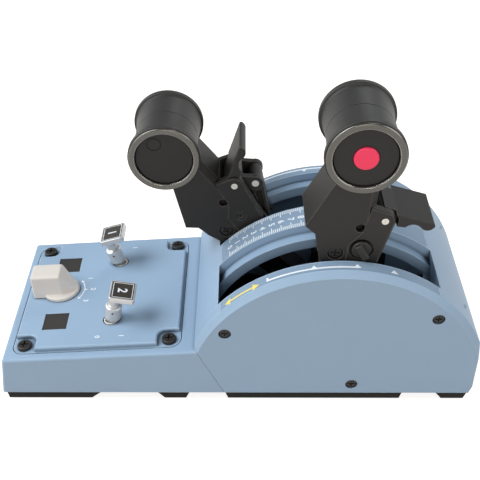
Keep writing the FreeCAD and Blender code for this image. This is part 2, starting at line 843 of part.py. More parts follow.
def selector_knob():
    """Pointer knob: long block with a wedge nose, on a round base."""
    base = rod_z(selector_disc, panel_raise + skirt_gap, panel_raise + skirt_gap + selector_disc_thick)
    top_edge = [edge for edge in base.Edges if abs(edge.CenterOfMass.z - base.BoundBox.ZMax) < 1e-6]
    base = base.makeFillet(0.9, top_edge[:1])
    foot, top = panel_raise + skirt_gap, panel_raise + skirt_gap + selector_height
    half = selector_bar / 2
    side_view = prism_y([(-selector_tail, foot), (-selector_tail + 0.6, top), (selector_break, top),
                         (selector_disc, foot + selector_disc_thick), (selector_disc, foot)], -half, half)
    plan_view = prism_z([(-selector_tail, -half), (selector_break, -half), (selector_disc, -selector_nose),
                         (selector_disc, selector_nose), (selector_break, half), (-selector_tail, half)],
                        foot, top + 1)
    bar = side_view.common(plan_view)
    upper = [edge for edge in bar.Edges
             if edge.CenterOfMass.z > foot + 3 and edge.CenterOfMass.x < selector_break + 0.1]
    bar = bar.makeFillet(selector_round, upper)
    knob = join([base, bar])
    return knob.cut(rod_z(selector_shaft_radius, 0, foot + selector_height * 0.6))


def selector_shaft():
    top = panel_raise + skirt_gap + selector_height * 0.6
    return rod_z(selector_shaft_radius - 0.02, -selector_depth, top)


def selector_switch():
    """Rotary switch body under the panel, bored for the shaft."""
    body = rod_z(selector_body, -selector_depth - 6, -panel_flange)
    body = join([body, block(-selector_body - 3, selector_body + 3, -2.5, 2.5, -selector_depth - 6,
                             -selector_depth - 4.5)])
    return body.cut(rod_z(selector_shaft_radius + running_clearance, -selector_depth - 0.5, 10))


def at_selector(shape):
    shape = shape.copy()
    shape.translate(Vector(selector_x, selector_left, 0))
    return on_deck(shape)


def panel_board():
    """Circuit board under the panel, with clear holes round the switch bodies."""
    z1 = -bushing_depth - switch_height * 0.45
    board = block(panel_aft + pocket_x + 1, panel_front - pocket_x - 1, -panel_half_width + pocket_y + 1,
                  panel_half_width - pocket_y - 1, z1 - board_thick, z1)
    for side in (-1, 1):
        y = side * toggle_y
        board = board.cut(block(toggle_x - switch_length / 2, toggle_x + switch_length / 2,
                                y - switch_width / 2, y + switch_width / 2, -big, big))
    board = board.cut(rod_z(selector_body, -big, big, selector_x, selector_left))
    lamps = [rod_z(2.5, z1 - 0.01, -panel_flange - 1, window_x, side * window_y) for side in (-1, 1)]
    return join([board] + lamps)


# ---------------------------------------------------------------- inside the drum

def usb_shell(grow=0.0):
    """Rounded metal shell of the lead's socket, in the front wall."""
    shell = block(front_x - usb_depth, front_x - 0.4 + grow * 5, -usb_width / 2 - grow, usb_width / 2 + grow,
                  usb_z - usb_height / 2 - grow, usb_z + usb_height / 2 + grow)
    return shell.makeFillet(usb_height * 0.45, edges_along(shell, forward))


def usb_socket():
    shell = usb_shell()
    inner = block(front_x - usb_depth + 1, front_x + 1, -usb_width / 2 + 0.35, usb_width / 2 - 0.35,
                  usb_z - usb_height / 2 + 0.35, usb_z + usb_height / 2 - 0.35)
    inner = inner.makeFillet((usb_height - 0.7) * 0.45, edges_along(inner, forward))
    tongue = block(front_x - usb_depth + 0.5, front_x - 2, -usb_width / 2 + 1.4, usb_width / 2 - 1.4,
                   usb_z - 0.35, usb_z + 0.35)
    return join([shell.cut(inner), tongue])


def main_board():
    """Circuit board standing on the tray behind the front wall, carrying the socket."""
    z0 = usb_z - usb_height / 2 - board_thick
    board = block(front_x - usb_depth - board_length, front_x - wall - 1, -board_half, board_half,
                  z0, z0 + board_thick)
    chips = []
    for aft, fore, right, high, thick in (chip_a, chip_b):
        chips.append(block(front_x + aft, front_x + fore, right, high, z0 + board_thick - 0.01,
                           z0 + board_thick + thick))
    return join([board] + chips)


def lever_axle():
    axle = rod_y(axle_radius, -axle_half, axle_half)
    ends = [edge for edge in axle.Edges if edge.BoundBox.YLength < 1e-6]
    return at_axis(axle.makeChamfer(0.5, ends))


def axle_bracket(y0, y1, height):
    """Upright with a round head about the axle, on a foot screwed to the tray floor."""
    base_z = tray_floor - axis_z
    outline = [(-bracket_half, base_z), (-bracket_half, 0), (-bracket_half * 0.55, height),
               (bracket_half * 0.55, height), (bracket_half, 0), (bracket_half, base_z)]
    plate = prism_y(outline, y0, y1)
    corners = [edge for edge in edges_along(plate, left) if edge.CenterOfMass.z > base_z + 1]
    plate = plate.makeFillet(3.0, corners)
    flange = block(-bracket_half - 7, bracket_half + 7, y0, y1, base_z, base_z + bracket_flange)
    bracket = join([plate, flange])
    return bracket.cut(rod_y(axle_radius + 0.02, y0 - 1, y1 + 1))


def axle_brackets():
    """Two outer brackets, each with a post for the lower cover screw, and a pair in the middle."""
    outer = axle_bracket(bracket_y, bracket_y + bracket_thick, bracket_height)
    x, z = lower_cover_screws[0]
    post = rod_y(screw_boss_radius, bracket_y, half_width - wall, x - axis_x, z - axis_z)
    outer = join([outer, post])
    outer = outer.cut(rod_y(screw_radius, half_width - cover_screw_length, half_width,
                            x - axis_x, z - axis_z))
    inner = axle_bracket(inner_bracket_y, inner_bracket_y + bracket_thick, bracket_height * 0.5)
    return [at_axis(shape) for shape in both_sides(outer) + both_sides(inner)]


def friction_washers():
    """Sprung washers on the axle between each lever hub and its brackets."""
    half_hub = shank_width / 2
    pairs = [(inner_bracket_y + bracket_thick, lever_offset - half_hub - skirt_gap),
             (lever_offset + half_hub + skirt_gap, bracket_y)]
    washers = []
    for y0, y1 in pairs:
        middle = (y0 + y1) / 2
        section = [(y0, axle_radius + 0.02), (y1, axle_radius + 0.02), (y1, hub_radius - 0.6),
                   (middle, hub_radius), (y0, hub_radius - 0.6)]
        washers += both_sides(lathe_y(section))
    return [at_axis(washer) for washer in washers]


def sensor_boards():
    """Angle-sensor boards on the outer brackets, each with its sensor chip."""
    y0 = bracket_y + bracket_thick
    board = block(-sensor_aft, sensor_front, y0, y0 + board_thick, axle_radius + sensor_low,
                  bracket_height - 1)
    low = axle_radius + sensor_chip_low
    chip = block(-sensor_chip, sensor_chip, y0 + board_thick - 0.01, y0 + board_thick + sensor_chip_thick,
                 low, low + 2 * sensor_chip)
    return [at_axis(shape) for shape in both_sides(join([board, chip]))]


def detent_arch():
    """Curved rail with notches, on two legs down to the tray floor, under one lever."""
    half = arch_thick / 2
    y0, y1 = lever_offset - half, lever_offset + half
    inner = arch_outer - arch_depth
    floor = tray_floor - axis_z
    ring = ring_y(inner, arch_outer, y0, y1)
    aft, front = math.radians(arch_aft_angle), math.radians(arch_front_angle)
    reach = 200.0
    steps = 6
    fan = [(0.0, 0.0)]
    for step in range(steps + 1):
        angle = aft + (front - aft) * step / steps
        fan.append((reach * math.sin(angle), reach * math.cos(angle)))
    arch = ring.common(prism_y(fan, y0, y1))
    legs = []
    for angle in (aft, front):
        middle = (inner + arch_outer) / 2
        x, z = middle * math.sin(angle), middle * math.cos(angle)
        legs.append(block(x - arch_leg - 1, x - 1, y0, y1, floor, z + 1))
        legs.append(block(x - arch_leg - 1, x - 1, y0 - 3, y1 + 3, floor, floor + bracket_flange))
    arch = join([arch] + legs)
    for angle in detent_angles:
        notch = rod_y(1.6, y0 - 1, y1 + 1, arch_outer * math.sin(math.radians(angle)),
                      arch_outer * math.cos(math.radians(angle)))
        arch = arch.cut(notch)
    return arch


def ballast_plate():
    """Steel weight on the tray floor under the engine panel."""
    outline = foot_outline(0)
    x0, x1 = outline[2][0] + tray_wall + 4, outline[3][0] - tray_wall - 4
    plate = block(x0, x1, -ballast_half, ballast_half, tray_floor, tray_floor + ballast_thick)
    return plate.makeFillet(3.0, edges_along(plate, up))


# ---------------------------------------------------------------- levers
# Lever coordinates: origin on the lever axis, +X forward, +Z up the arm, +Y outboard.

def profile_y(start, moves, y0, y1):
    """Closed outline of lines and arcs, extruded along Y. A move is a point, or (middle, end) of an arc."""
    here = Vector(start[0], y0, start[1])
    first, edges = here, []
    for move in moves:
        if isinstance(move[0], tuple):
            middle, end = Vector(move[0][0], y0, move[0][1]), Vector(move[1][0], y0, move[1][1])
            edges.append(Part.Arc(here, middle, end).toShape())
        else:
            end = Vector(move[0], y0, move[1])
            edges.append(Part.makeLine(here, end))
        here = end
    if here.distanceToPoint(first) > 1e-6:
        edges.append(Part.makeLine(here, first))
    return Part.Face(Part.Wire(edges)).extrude(Vector(0, y1 - y0, 0))


def from_pivot(radius, angle):
    """Point at a radius and an angle, counter-clockwise from forward, about the trigger pivot."""
    turn = math.radians(angle)
    return pivot.x + radius * math.cos(turn), pivot.z + radius * math.sin(turn)


def seam_points():
    """Line where the yoke meets the arm, from the top down."""
    bends = [(x, drum_radius + rise) for x, rise in seam_bends]
    return [(seam_top_forward, yoke_top)] + bends + [(seam_foot_forward, shank_shoulder)]


def lever_arm():
    """Arm from the hub to the knob: slim shank, full-width head, and a tang inside the knob."""
    half, shank = lever_width / 2, shank_width / 2
    seam_line = seam_points()
    back = [(x, drum_radius + rise) for x, rise in arm_back]
    neck = [(arm_neck_x, knob_height - arm_neck_drop), (arm_crown_x, knob_height)]
    front = [(arm_front, knob_height), (arm_front, yoke_top)]
    head = profile_y((shank_aft, shank_shoulder), back + neck + front + seam_line, -half, half)
    nose = [edge for edge in edges_along(head, up)
            if abs(edge.CenterOfMass.x - arm_front) < 1e-6 and abs(abs(edge.CenterOfMass.y) - half) < 1e-6]
    head = head.makeChamfer(arm_chamfer, nose)
    head = head.cut(barrel_form(False))
    shelf = shank_shoulder - part_gap
    shin = prism_y([(shank_aft, shank_shoulder + 0.5), (seam_line[3][0], shank_shoulder + 0.5),
                    (seam_line[3][0], shelf), (shank_front, shelf), (shank_front, yoke_foot - part_gap),
                    (hub_radius, 0), (-hub_radius, 0)], -shank, shank)
    hub = rod_y(hub_radius, -shank, shank)
    tang = block(-tang_depth / 2, tang_depth / 2, -tang_width / 2, tang_width / 2,
                 knob_height - barrel_waist_radius - 4, knob_height - 3)
    arm = join([head, shin, hub, tang])
    gap = arch_thick / 2 + arch_slot_gap
    passage = ring_y(arch_outer - arch_depth - 3, arch_outer + 3, -gap, gap)
    arm = arm.cut(passage.common(block(-big, big, -big, big, 2 * hub_radius, big)))
    arm = arm.cut(rod_y(bush_radius, -50, 50))
    for side in (-1, 1):
        y0, y1 = sorted((side * (half - screw_head_depth), side * (half + 5)))
        arm = arm.cut(rod_y(lever_screw_radius + 0.4, y0, y1, lever_screw.x, lever_screw.z))
        arm = arm.cut(rod_y(screw_radius, -half, half, lever_screw.x, lever_screw.z))
        y0, y1 = sorted((side * (half - 4), side * (half + 5)))
        arm = arm.cut(rod_y(lever_hole_radius, y0, y1, lever_hole.x, lever_hole.z))
    return arm.cut(latch_scoop())


def latch_scoop():
    """Shallow round recess about the latch knob, on the outboard face."""
    half = lever_width / 2
    return rod_y(latch_scoop_radius, half - latch_scoop_depth, half + 5, latch.x, latch.z)


def yoke_outline(y0, y1):
    """Side outline of the yoke: rounded about the trigger pivot, straight down the front."""
    seam_line = [(x + part_gap, z) for x, z in seam_points()]
    top_angle, front_angle = 73.4, -12.0
    top = from_pivot(yoke_nose, top_angle)
    middle = from_pivot(yoke_nose, (top_angle + front_angle) / 2)
    front = from_pivot(yoke_nose, front_angle)
    return profile_y((seam_line[0][0], yoke_top - 0.3), [top, (middle, front), (yoke_front, shank_shoulder),
                     seam_line[3], seam_line[2], seam_line[1]], y0, y1)


def lever_yoke():
    """Fork in front of the arm: two cheeks for the trigger pin, on a web, with a slim tail."""
    half, shank = lever_width / 2, shank_width / 2
    yoke = yoke_outline(-half, half)
    rim = [edge for edge in yoke.Edges if edge.CenterOfMass.z > yoke_top - 3.4
           and edge.BoundBox.YLength < 1e-6 and edge.CenterOfMass.x < pivot.x + 2]
    yoke = yoke.makeChamfer(yoke_chamfer, rim)
    tail = prism_y([(shank_front + part_gap, shank_shoulder + 0.5), (yoke_front, shank_shoulder + 0.5),
                    (yoke_front - 0.9, yoke_foot), (shank_front + part_gap, yoke_foot)], -shank, shank)
    yoke = join([yoke, tail])
    inner = half - cheek_thick
    bend_x, bend_rise = seam_bends[0]
    hollow = prism_y([(yoke_back, big), (yoke_back, yoke_top), (bend_x + 2.7, drum_radius + bend_rise),
                      (web_front, drum_radius + seam_bends[1][1] - 0.5), (web_front, yoke_floor),
                      (big, yoke_floor), (big, big)], -inner, inner)
    groove = prism_y([(web_front, yoke_floor + 4), (web_front, 0), (big, 0), (big, yoke_floor + 4)],
                     -rod_guide_half, rod_guide_half)
    yoke = yoke.cut(hollow).cut(groove)
    yoke = yoke.cut(rod_y(pivot_pin_radius, -50, 50, pivot.x, pivot.z))
    yoke = yoke.cut(rod_y(latch_shaft_radius + running_clearance, -50, 50, latch.x, latch.z))
    yoke = yoke.cut(rod_y(latch_nut_radius + 0.4, -half - 5, -half + screw_head_depth, latch.x, latch.z))
    return yoke.cut(latch_scoop())


def trigger_pin():
    """Steel pin through both cheeks, with a small centre dimple at each end."""
    half = lever_width / 2
    pin = rod_y(pivot_pin_radius, -half - 0.15, half + 0.15, pivot.x, pivot.z)
    for side in (-1, 1):
        y0, y1 = sorted((side * (half - 0.25), side * (half + 1)))
        pin = pin.cut(rod_y(pivot_pin_radius * 0.4, y0, y1, pivot.x, pivot.z))
    return pin


def reverse_trigger():
    """Finger trigger, lowered: full-width wedge, hub between the cheeks, and two crank lugs."""
    half = lever_width / 2
    inner = half - cheek_thick - skirt_gap
    reach = trigger_reach
    top_root, low_root = from_pivot(trigger_gap_radius, 38.0), from_pivot(trigger_gap_radius, -24.0)
    mid_root = from_pivot(trigger_gap_radius, 7.0)
    point = pivot
    underside = [(point.x + reach * 0.41, point.z - 3.2),
                 ((point.x + reach * 0.57, point.z - 1.3), (point.x + reach * 0.73, point.z - 3.2)),
                 ((point.x + reach * 0.87, point.z - 4.6), (point.x + reach - 0.6, point.z - 2.9)),
                 ((point.x + reach - 0.1, point.z - 1.8), (point.x + reach - 0.6, point.z - 0.8))]
    wedge = profile_y(low_root, underside + [top_root, (mid_root, low_root)], -half, half)
    brow = [edge for edge in wedge.Edges if edge.BoundBox.YLength < 1e-6
            and edge.CenterOfMass.z > point.z + 1.2 and edge.CenterOfMass.x > point.x + reach * 0.4]
    wedge = wedge.makeFillet(0.8, brow)
    neck = profile_y((point.x - 0.6, point.z + 6.3), [(top_root[0] + 2.0, top_root[1] - 0.6),
                     (low_root[0] + 2.0, low_root[1] + 0.2), (point.x, point.z - 3)], -inner, inner)
    hub = rod_y(trigger_hub, -inner, inner, point.x, point.z)
    lug = join([rod_y(trigger_hub, inner - lug_thick, inner, point.x, point.z),
                rod_y(crank_eye, inner - lug_thick, inner, point.x, point.z - crank_length),
                block(point.x - crank_eye + 0.2, point.x + crank_eye - 0.2, inner - lug_thick, inner,
                      point.z - crank_length, point.z)])
    trigger = join([wedge, neck, hub] + both_sides(lug))
    trigger = trigger.cut(rod_y(pivot_pin_radius + running_clearance, -50, 50, point.x, point.z))
    return trigger.cut(rod_y(crank_pin_radius, -50, 50, point.x, point.z - crank_length))


def crank_pin():
    inner = lever_width / 2 - cheek_thick - skirt_gap
    return rod_y(crank_pin_radius, -inner - 0.1, inner + 0.1, pivot.x, pivot.z - crank_length)


def rod_foot():
    """Centre of the rod's foot when the trigger is lowered."""
    drop = math.sqrt(rod_length ** 2 - (pivot.x - rod_foot_x) ** 2)
    return rod_foot_x, pivot.z - crank_length - drop


def lock_rod():
    """Tapered link from the crank pin down to a rounded foot over the detent rail."""
    half = barrel_link_width / 2
    top_x, top_z = pivot.x, pivot.z - crank_length
    foot_x, foot_z = rod_foot()
    along = Vector(foot_x - top_x, 0, foot_z - top_z)
    along.normalize()
    across = Vector(-along.z, 0, along.x)
    corners = []
    for centre_x, centre_z, reach in ((top_x, top_z, rod_half_top), (foot_x, foot_z, rod_half_foot)):
        corners.append([(centre_x + across.x * reach, centre_z + across.z * reach),
                        (centre_x - across.x * reach, centre_z - across.z * reach)])
    body = prism_y([corners[0][0], corners[0][1], corners[1][1], corners[1][0]], -half, half)
    rod = join([body, rod_y(rod_half_top + 0.2, -half, half, top_x, top_z),
                rod_y(rod_half_foot, -half, half, foot_x, foot_z)])
    thin = rod_half_foot * 0.55
    window = []
    for share, reach in ((0.24, rod_half_top * 0.52), (0.86, thin)):
        centre = Vector(top_x, 0, top_z) + along * (rod_length * share)
        window.append([(centre.x + across.x * reach, centre.z + across.z * reach),
                       (centre.x - across.x * reach, centre.z - across.z * reach)])
    pocket = prism_y([window[0][0], window[0][1], window[1][1], window[1][0]], half - rod_pocket, half + 1)
    rod = cut_both(rod, pocket)
    return rod.cut(rod_y(crank_pin_radius + running_clearance, -50, 50, top_x, top_z))


def latch_knob():
    """Round thumb knob with a raised bar, on a shaft through both cheeks."""
    half = lever_width / 2
    floor = half - latch_scoop_depth + part_gap
    disc = rod_y(latch_radius, floor, floor + latch_disc_thick, latch.x, latch.z)
    rim = [edge for edge in disc.Edges if abs(edge.CenterOfMass.y - floor - latch_disc_thick) < 1e-6]
    disc = disc.makeFillet(0.6, rim[:1])
    bar = block(-latch_radius * 0.92, latch_radius * 0.92, floor + latch_disc_thick - 0.01,
                floor + latch_disc_thick + latch_bar_height, -latch_bar_width / 2, latch_bar_width / 2)
    crest = [edge for edge in edges_along(bar, forward)
             if edge.CenterOfMass.y > floor + latch_disc_thick + 0.5]
    bar = bar.makeFillet(0.45, crest)
    bar.rotate(Vector(0, 0, 0), left, latch_bar_turn)
    bar.translate(Vector(latch.x, 0, latch.z))
    shaft = rod_y(latch_shaft_radius, -half + screw_head_depth, floor + 0.5, latch.x, latch.z)
    return join([disc, bar, shaft])


def latch_screw():
    """Socket screw on the inboard end of the latch shaft."""
    half = lever_width / 2
    head = rod_y(latch_nut_radius, -half + 0.3, -half + screw_head_depth, latch.x, latch.z)
    socket = prism_hex(latch_nut_radius * 0.5, -half - 1, -half + screw_head_depth * 0.6, latch.x, latch.z)
    return head.cut(socket)


def prism_hex(radius, y0, y1, x, z):
    turns = [math.pi * step / 3 for step in range(6)]
    corners = [(x + radius * math.cos(turn), z + radius * math.sin(turn)) for turn in turns]
    return prism_y(corners, y0, y1)


def lever_screws():
    """Large cross-head screws that clamp the arm's head, one on each face."""
    half = lever_width / 2
    screw = cross_screw(6.0, lever_screw_radius, screw_head_depth - 0.4)
    screw.rotate(Vector(0, 0, 0), forward, -90)
    screw.translate(Vector(lever_screw.x, half - screw_head_depth, lever_screw.z))
    return both_sides(screw)


def hub_bush():
    shank = shank_width / 2
    return ring_y(axle_radius + running_clearance, bush_radius, -shank, shank)


# ---------------------------------------------------------------- knob on each lever

def barrel_form(hollow):
    """Waisted barrel between two flanges, solid or bored with a counterbore at each end."""
    end = knob_length / 2 - ring_width
    seat = knob_length / 2 - cap_seat
    step = end - flange_width
    bore = barrel_waist_radius - barrel_wall
    core = [(seat, bore), (seat, ring_bore), (end, ring_bore)] if hollow else [(end, 0)]
    section = core + [(end, flange_radius), (step, flange_radius),
                      (step - shoulder_bevel, shoulder_radius + shoulder_bevel),
                      (step - shoulder_bevel - shoulder_width, shoulder_radius)]
    right_end = [Vector(radius, y, 0) for y, radius in section]
    left_end = [Vector(radius, -y, 0) for y, radius in reversed(section)]
    waist = Part.Arc(right_end[-1], Vector(barrel_waist_radius, 0, 0), left_end[0]).toShape()
    edges = [Part.makeLine(a, b) for a, b in zip(right_end, right_end[1:])] + [waist]
    edges += [Part.makeLine(a, b) for a, b in zip(left_end, left_end[1:])] + [Part.makeLine(left_end[-1], right_end[0])]
    barrel = Part.Face(Part.Wire(edges)).revolve(Vector(0, 0, 0), left, 360)
    corners = [edge for edge in barrel.Edges if abs(edge.BoundBox.XLength - 2 * flange_radius) < 1e-3
               and edge.BoundBox.YLength < 1e-6]
    barrel = barrel.makeFillet(flange_round, corners)
    barrel.translate(Vector(0, 0, knob_height))
    return barrel


def knob_barrel():
    """Hollow barrel, open below for the tang of the arm, with a fine parting line round its waist."""
    barrel = barrel_form(True)
    line = ring_y(barrel_waist_radius - parting_depth, flange_radius, -parting_line / 2, parting_line / 2)
    line.translate(Vector(0, 0, knob_height))
    mouth = block(-tang_depth / 2 - 0.1, tang_depth / 2 + 0.1, -tang_width / 2 - 0.1, tang_width / 2 + 0.1,
                  knob_height - flange_radius - 2, knob_height)
    return barrel.cut(line).cut(mouth)


def knob_rings():
    """Bright ring set on each end of the barrel, rolled over at its outer edge."""
    inner, outer = knob_length / 2 - ring_width, knob_length / 2
    ring = ring_y(ring_bore, ring_radius, inner, outer)
    face = [edge for edge in ring.Edges if abs(edge.BoundBox.YMin - outer) < 1e-6]
    roll = [edge for edge in face if edge.BoundBox.XLength > 2 * ring_bore + 1]
    ring = ring.makeFillet(ring_roll, roll)
    lip = [edge for edge in ring.Edges if edge.BoundBox.YLength < 1e-6
           and abs(edge.CenterOfMass.y - outer) < 1e-6 and edge.BoundBox.XLength < 2 * ring_bore + 0.5]
    ring = ring.makeChamfer(0.4, lip)
    ring.translate(Vector(0, 0, knob_height))
    return both_sides(ring)


def knob_cap(hole):
    """End cap set back inside the ring; the outboard one has a hole for the button."""
    inner, face = knob_length / 2 - cap_seat, knob_length / 2 - cap_recess
    cap = rod_y(ring_bore - 0.08, inner, face, 0, knob_height)
    cap = cap.makeChamfer(cap_bevel, [edge for edge in cap.Edges if abs(edge.BoundBox.YMin - face) < 1e-6][:1])
    if hole:
        return cap.cut(rod_y(button_radius + part_gap, 0, 50, 0, knob_height))
    cap = mirror_y(cap)
    mark = ring_y(cap_mark_radius - cap_mark_width, cap_mark_radius, -face - 0.5, -face + cap_mark_width)
    mark.translate(Vector(cap_mark_x, 0, knob_height + cap_mark_rise))
    return cap.cut(mark)


def thumb_button():
    """Round red button with a domed face and a collar that keeps it in the knob."""
    face = knob_length / 2 - cap_recess
    inner = knob_length / 2 - cap_seat - skirt_gap
    body = rod_y(button_radius, inner - 3.0, face + button_proud)
    rim = [edge for edge in body.Edges if abs(edge.CenterOfMass.y - face - button_proud) < 1e-6]
    body = body.makeFillet(0.7, rim[:1])
    collar = rod_y(button_radius + 1.4, inner - 3.0, inner)
    button = join([body, collar])
    button.translate(Vector(0, 0, knob_height))
    return button


def button_switch():
    """Small push switch inside the knob, on the tang, just behind the button's travel."""
    back = knob_length / 2 - cap_seat - skirt_gap - 3.0 - button_stroke - skirt_gap
    return block(-4, 4, tang_width / 2, back, knob_height - 4, knob_height + 4)


def place_lever(shape, side):
    """Put a lever piece on its own side of the quadrant, at its resting angle."""
    shape = shape.copy() if side > 0 else mirror_y(shape)
    shape.rotate(Vector(0, 0, 0), left, left_angle if side > 0 else right_angle)
    shape.translate(Vector(axis_x, side * lever_offset, axis_z))
    return shape


def raise_trigger(shape, side):
    """The left trigger rests raised, the right one lowered."""
    shape = shape.copy()
    if side > 0:
        shape.rotate(Vector(pivot.x, 0, pivot.z), left, -trigger_raise)
    return shape


def swing_rod(shape, side):
    """Carry the rod to the crank pin's place, keeping its foot on the guide line."""
    shape = shape.copy()
    if side > 0:
        turn = math.radians(trigger_raise)
        pin_x = pivot.x + crank_length * math.sin(turn)
        pin_z = pivot.z - crank_length * math.cos(turn)
        rest_tilt = math.asin((pivot.x - rod_foot_x) / rod_length)
        raised_tilt = math.asin((pin_x - rod_foot_x) / rod_length)
        low_pin = Vector(pivot.x, 0, pivot.z - crank_length)
        shape.rotate(low_pin, left, math.degrees(raised_tilt - rest_tilt))
        shape.translate(Vector(pin_x - low_pin.x, 0, pin_z - low_pin.z))
    return shape


# ---------------------------------------------------------------- all sub-parts

casing = main_casing()
save("main_casing", casing.Solids)
cover = side_cover()
save("side_cover_left", cover.Solids)
save("side_cover_right", mirror_y(cover).Solids)
save("side_cover_screws", cover_screws())
save("bottom_tray", bottom_tray().Solids)
save("bottom_screws", bottom_screws())
save("rubber_feet", rubber_pads())
save("scale_strip_centre", centre_strip().Solids)
save("scale_strip_left", side_strip().Solids)
save("scale_strip_right", mirror_y(side_strip()).Solids)

save("panel_plate", [on_deck(solid) for solid in panel_plate().Solids])
save("panel_windows", [on_deck(pane) for pane in panel_windows()])
save("panel_screws", [on_deck(screw) for screw in panel_screws()])
save("panel_board", [on_deck(solid) for solid in panel_board().Solids])
save("toggle_bushings", [place_toggle(toggle_bushing(), side, 0) for side in (-1, 1)])
save("toggle_switch_cases", [place_toggle(toggle_switch(), side, 0) for side in (-1, 1)])
save("selector_switch", [at_selector(selector_switch())])
save("selector_knob", [at_selector(selector_knob())])
save("selector_shaft", [at_selector(selector_shaft())])

save("lever_axle", [lever_axle()])
save("axle_brackets", axle_brackets())
save("friction_washers", friction_washers())
save("sensor_boards", sensor_boards())
save("detent_arches", both_sides(at_axis(detent_arch())))
save("ballast_plate", [ballast_plate()])
save("main_board", [main_board()])
save("usb_socket", [usb_socket()])

for word, side in (("left", 1), ("right", -1)):
    lean = -toggle_lean if side > 0 else toggle_lean
    save("toggle_stem_" + word, [place_toggle(toggle_stem(), side, lean)])
    save("toggle_label_" + word, [place_toggle(toggle_label(), side, lean)])
    rigid = {"lever_arm": [lever_arm()], "lever_yoke": [lever_yoke()], "trigger_pin": [trigger_pin()],
             "lever_screws": lever_screws(), "hub_bush": [hub_bush()], "knob_barrel": [knob_barrel()],
             "knob_rings": knob_rings(), "knob_caps": [knob_cap(True), knob_cap(False)],
             "thumb_button": [thumb_button()], "button_switch": [button_switch()],
             "latch_knob": [latch_knob(), latch_screw()]}
    for name, solids in rigid.items():
        save(name + "_" + word, [place_lever(solid, side) for solid in solids])
    for name, solid in (("reverse_trigger", reverse_trigger()), ("crank_pin", crank_pin())):
        save(name + "_" + word, [place_lever(raise_trigger(solid, side), side)])
    save("lock_rod_" + word, [place_lever(swing_rod(lock_rod(), side), side)])
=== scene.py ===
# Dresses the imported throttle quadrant: finishes, printed marks, floor, lights and camera.
import math

import bmesh
import bpy
from mathutils import Matrix, Vector


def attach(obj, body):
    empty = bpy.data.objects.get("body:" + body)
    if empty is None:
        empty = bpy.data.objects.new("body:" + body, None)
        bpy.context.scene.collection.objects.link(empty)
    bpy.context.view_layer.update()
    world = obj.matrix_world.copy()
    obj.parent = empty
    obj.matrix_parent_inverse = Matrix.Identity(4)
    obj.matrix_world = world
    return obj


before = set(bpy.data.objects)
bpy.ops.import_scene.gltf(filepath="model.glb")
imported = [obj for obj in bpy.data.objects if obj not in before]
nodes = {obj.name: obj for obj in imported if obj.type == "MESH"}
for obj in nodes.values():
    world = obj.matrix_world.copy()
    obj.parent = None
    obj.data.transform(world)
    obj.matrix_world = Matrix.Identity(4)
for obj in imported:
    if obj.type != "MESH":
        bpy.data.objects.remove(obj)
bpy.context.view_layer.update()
print("frame loaded:", len(nodes), "nodes")

mm = 0.001
lines = {"axisX": 54.35, "axisZ": 9.25, "drumRadius": 84.0, "deckX": -128.25, "deckZ": 31.24,
         "deckSlope": 3.79, "plateTop": 3.0}


def linear(red, green, blue):  # screen values 0 to 255 into the shader's own numbers
    out = []
    for value in (red, green, blue):
        share = value / 255
        out.append(share / 12.92 if share <= 0.04045 else ((share + 0.055) / 1.055) ** 2.4)
    return (out[0], out[1], out[2], 1.0)
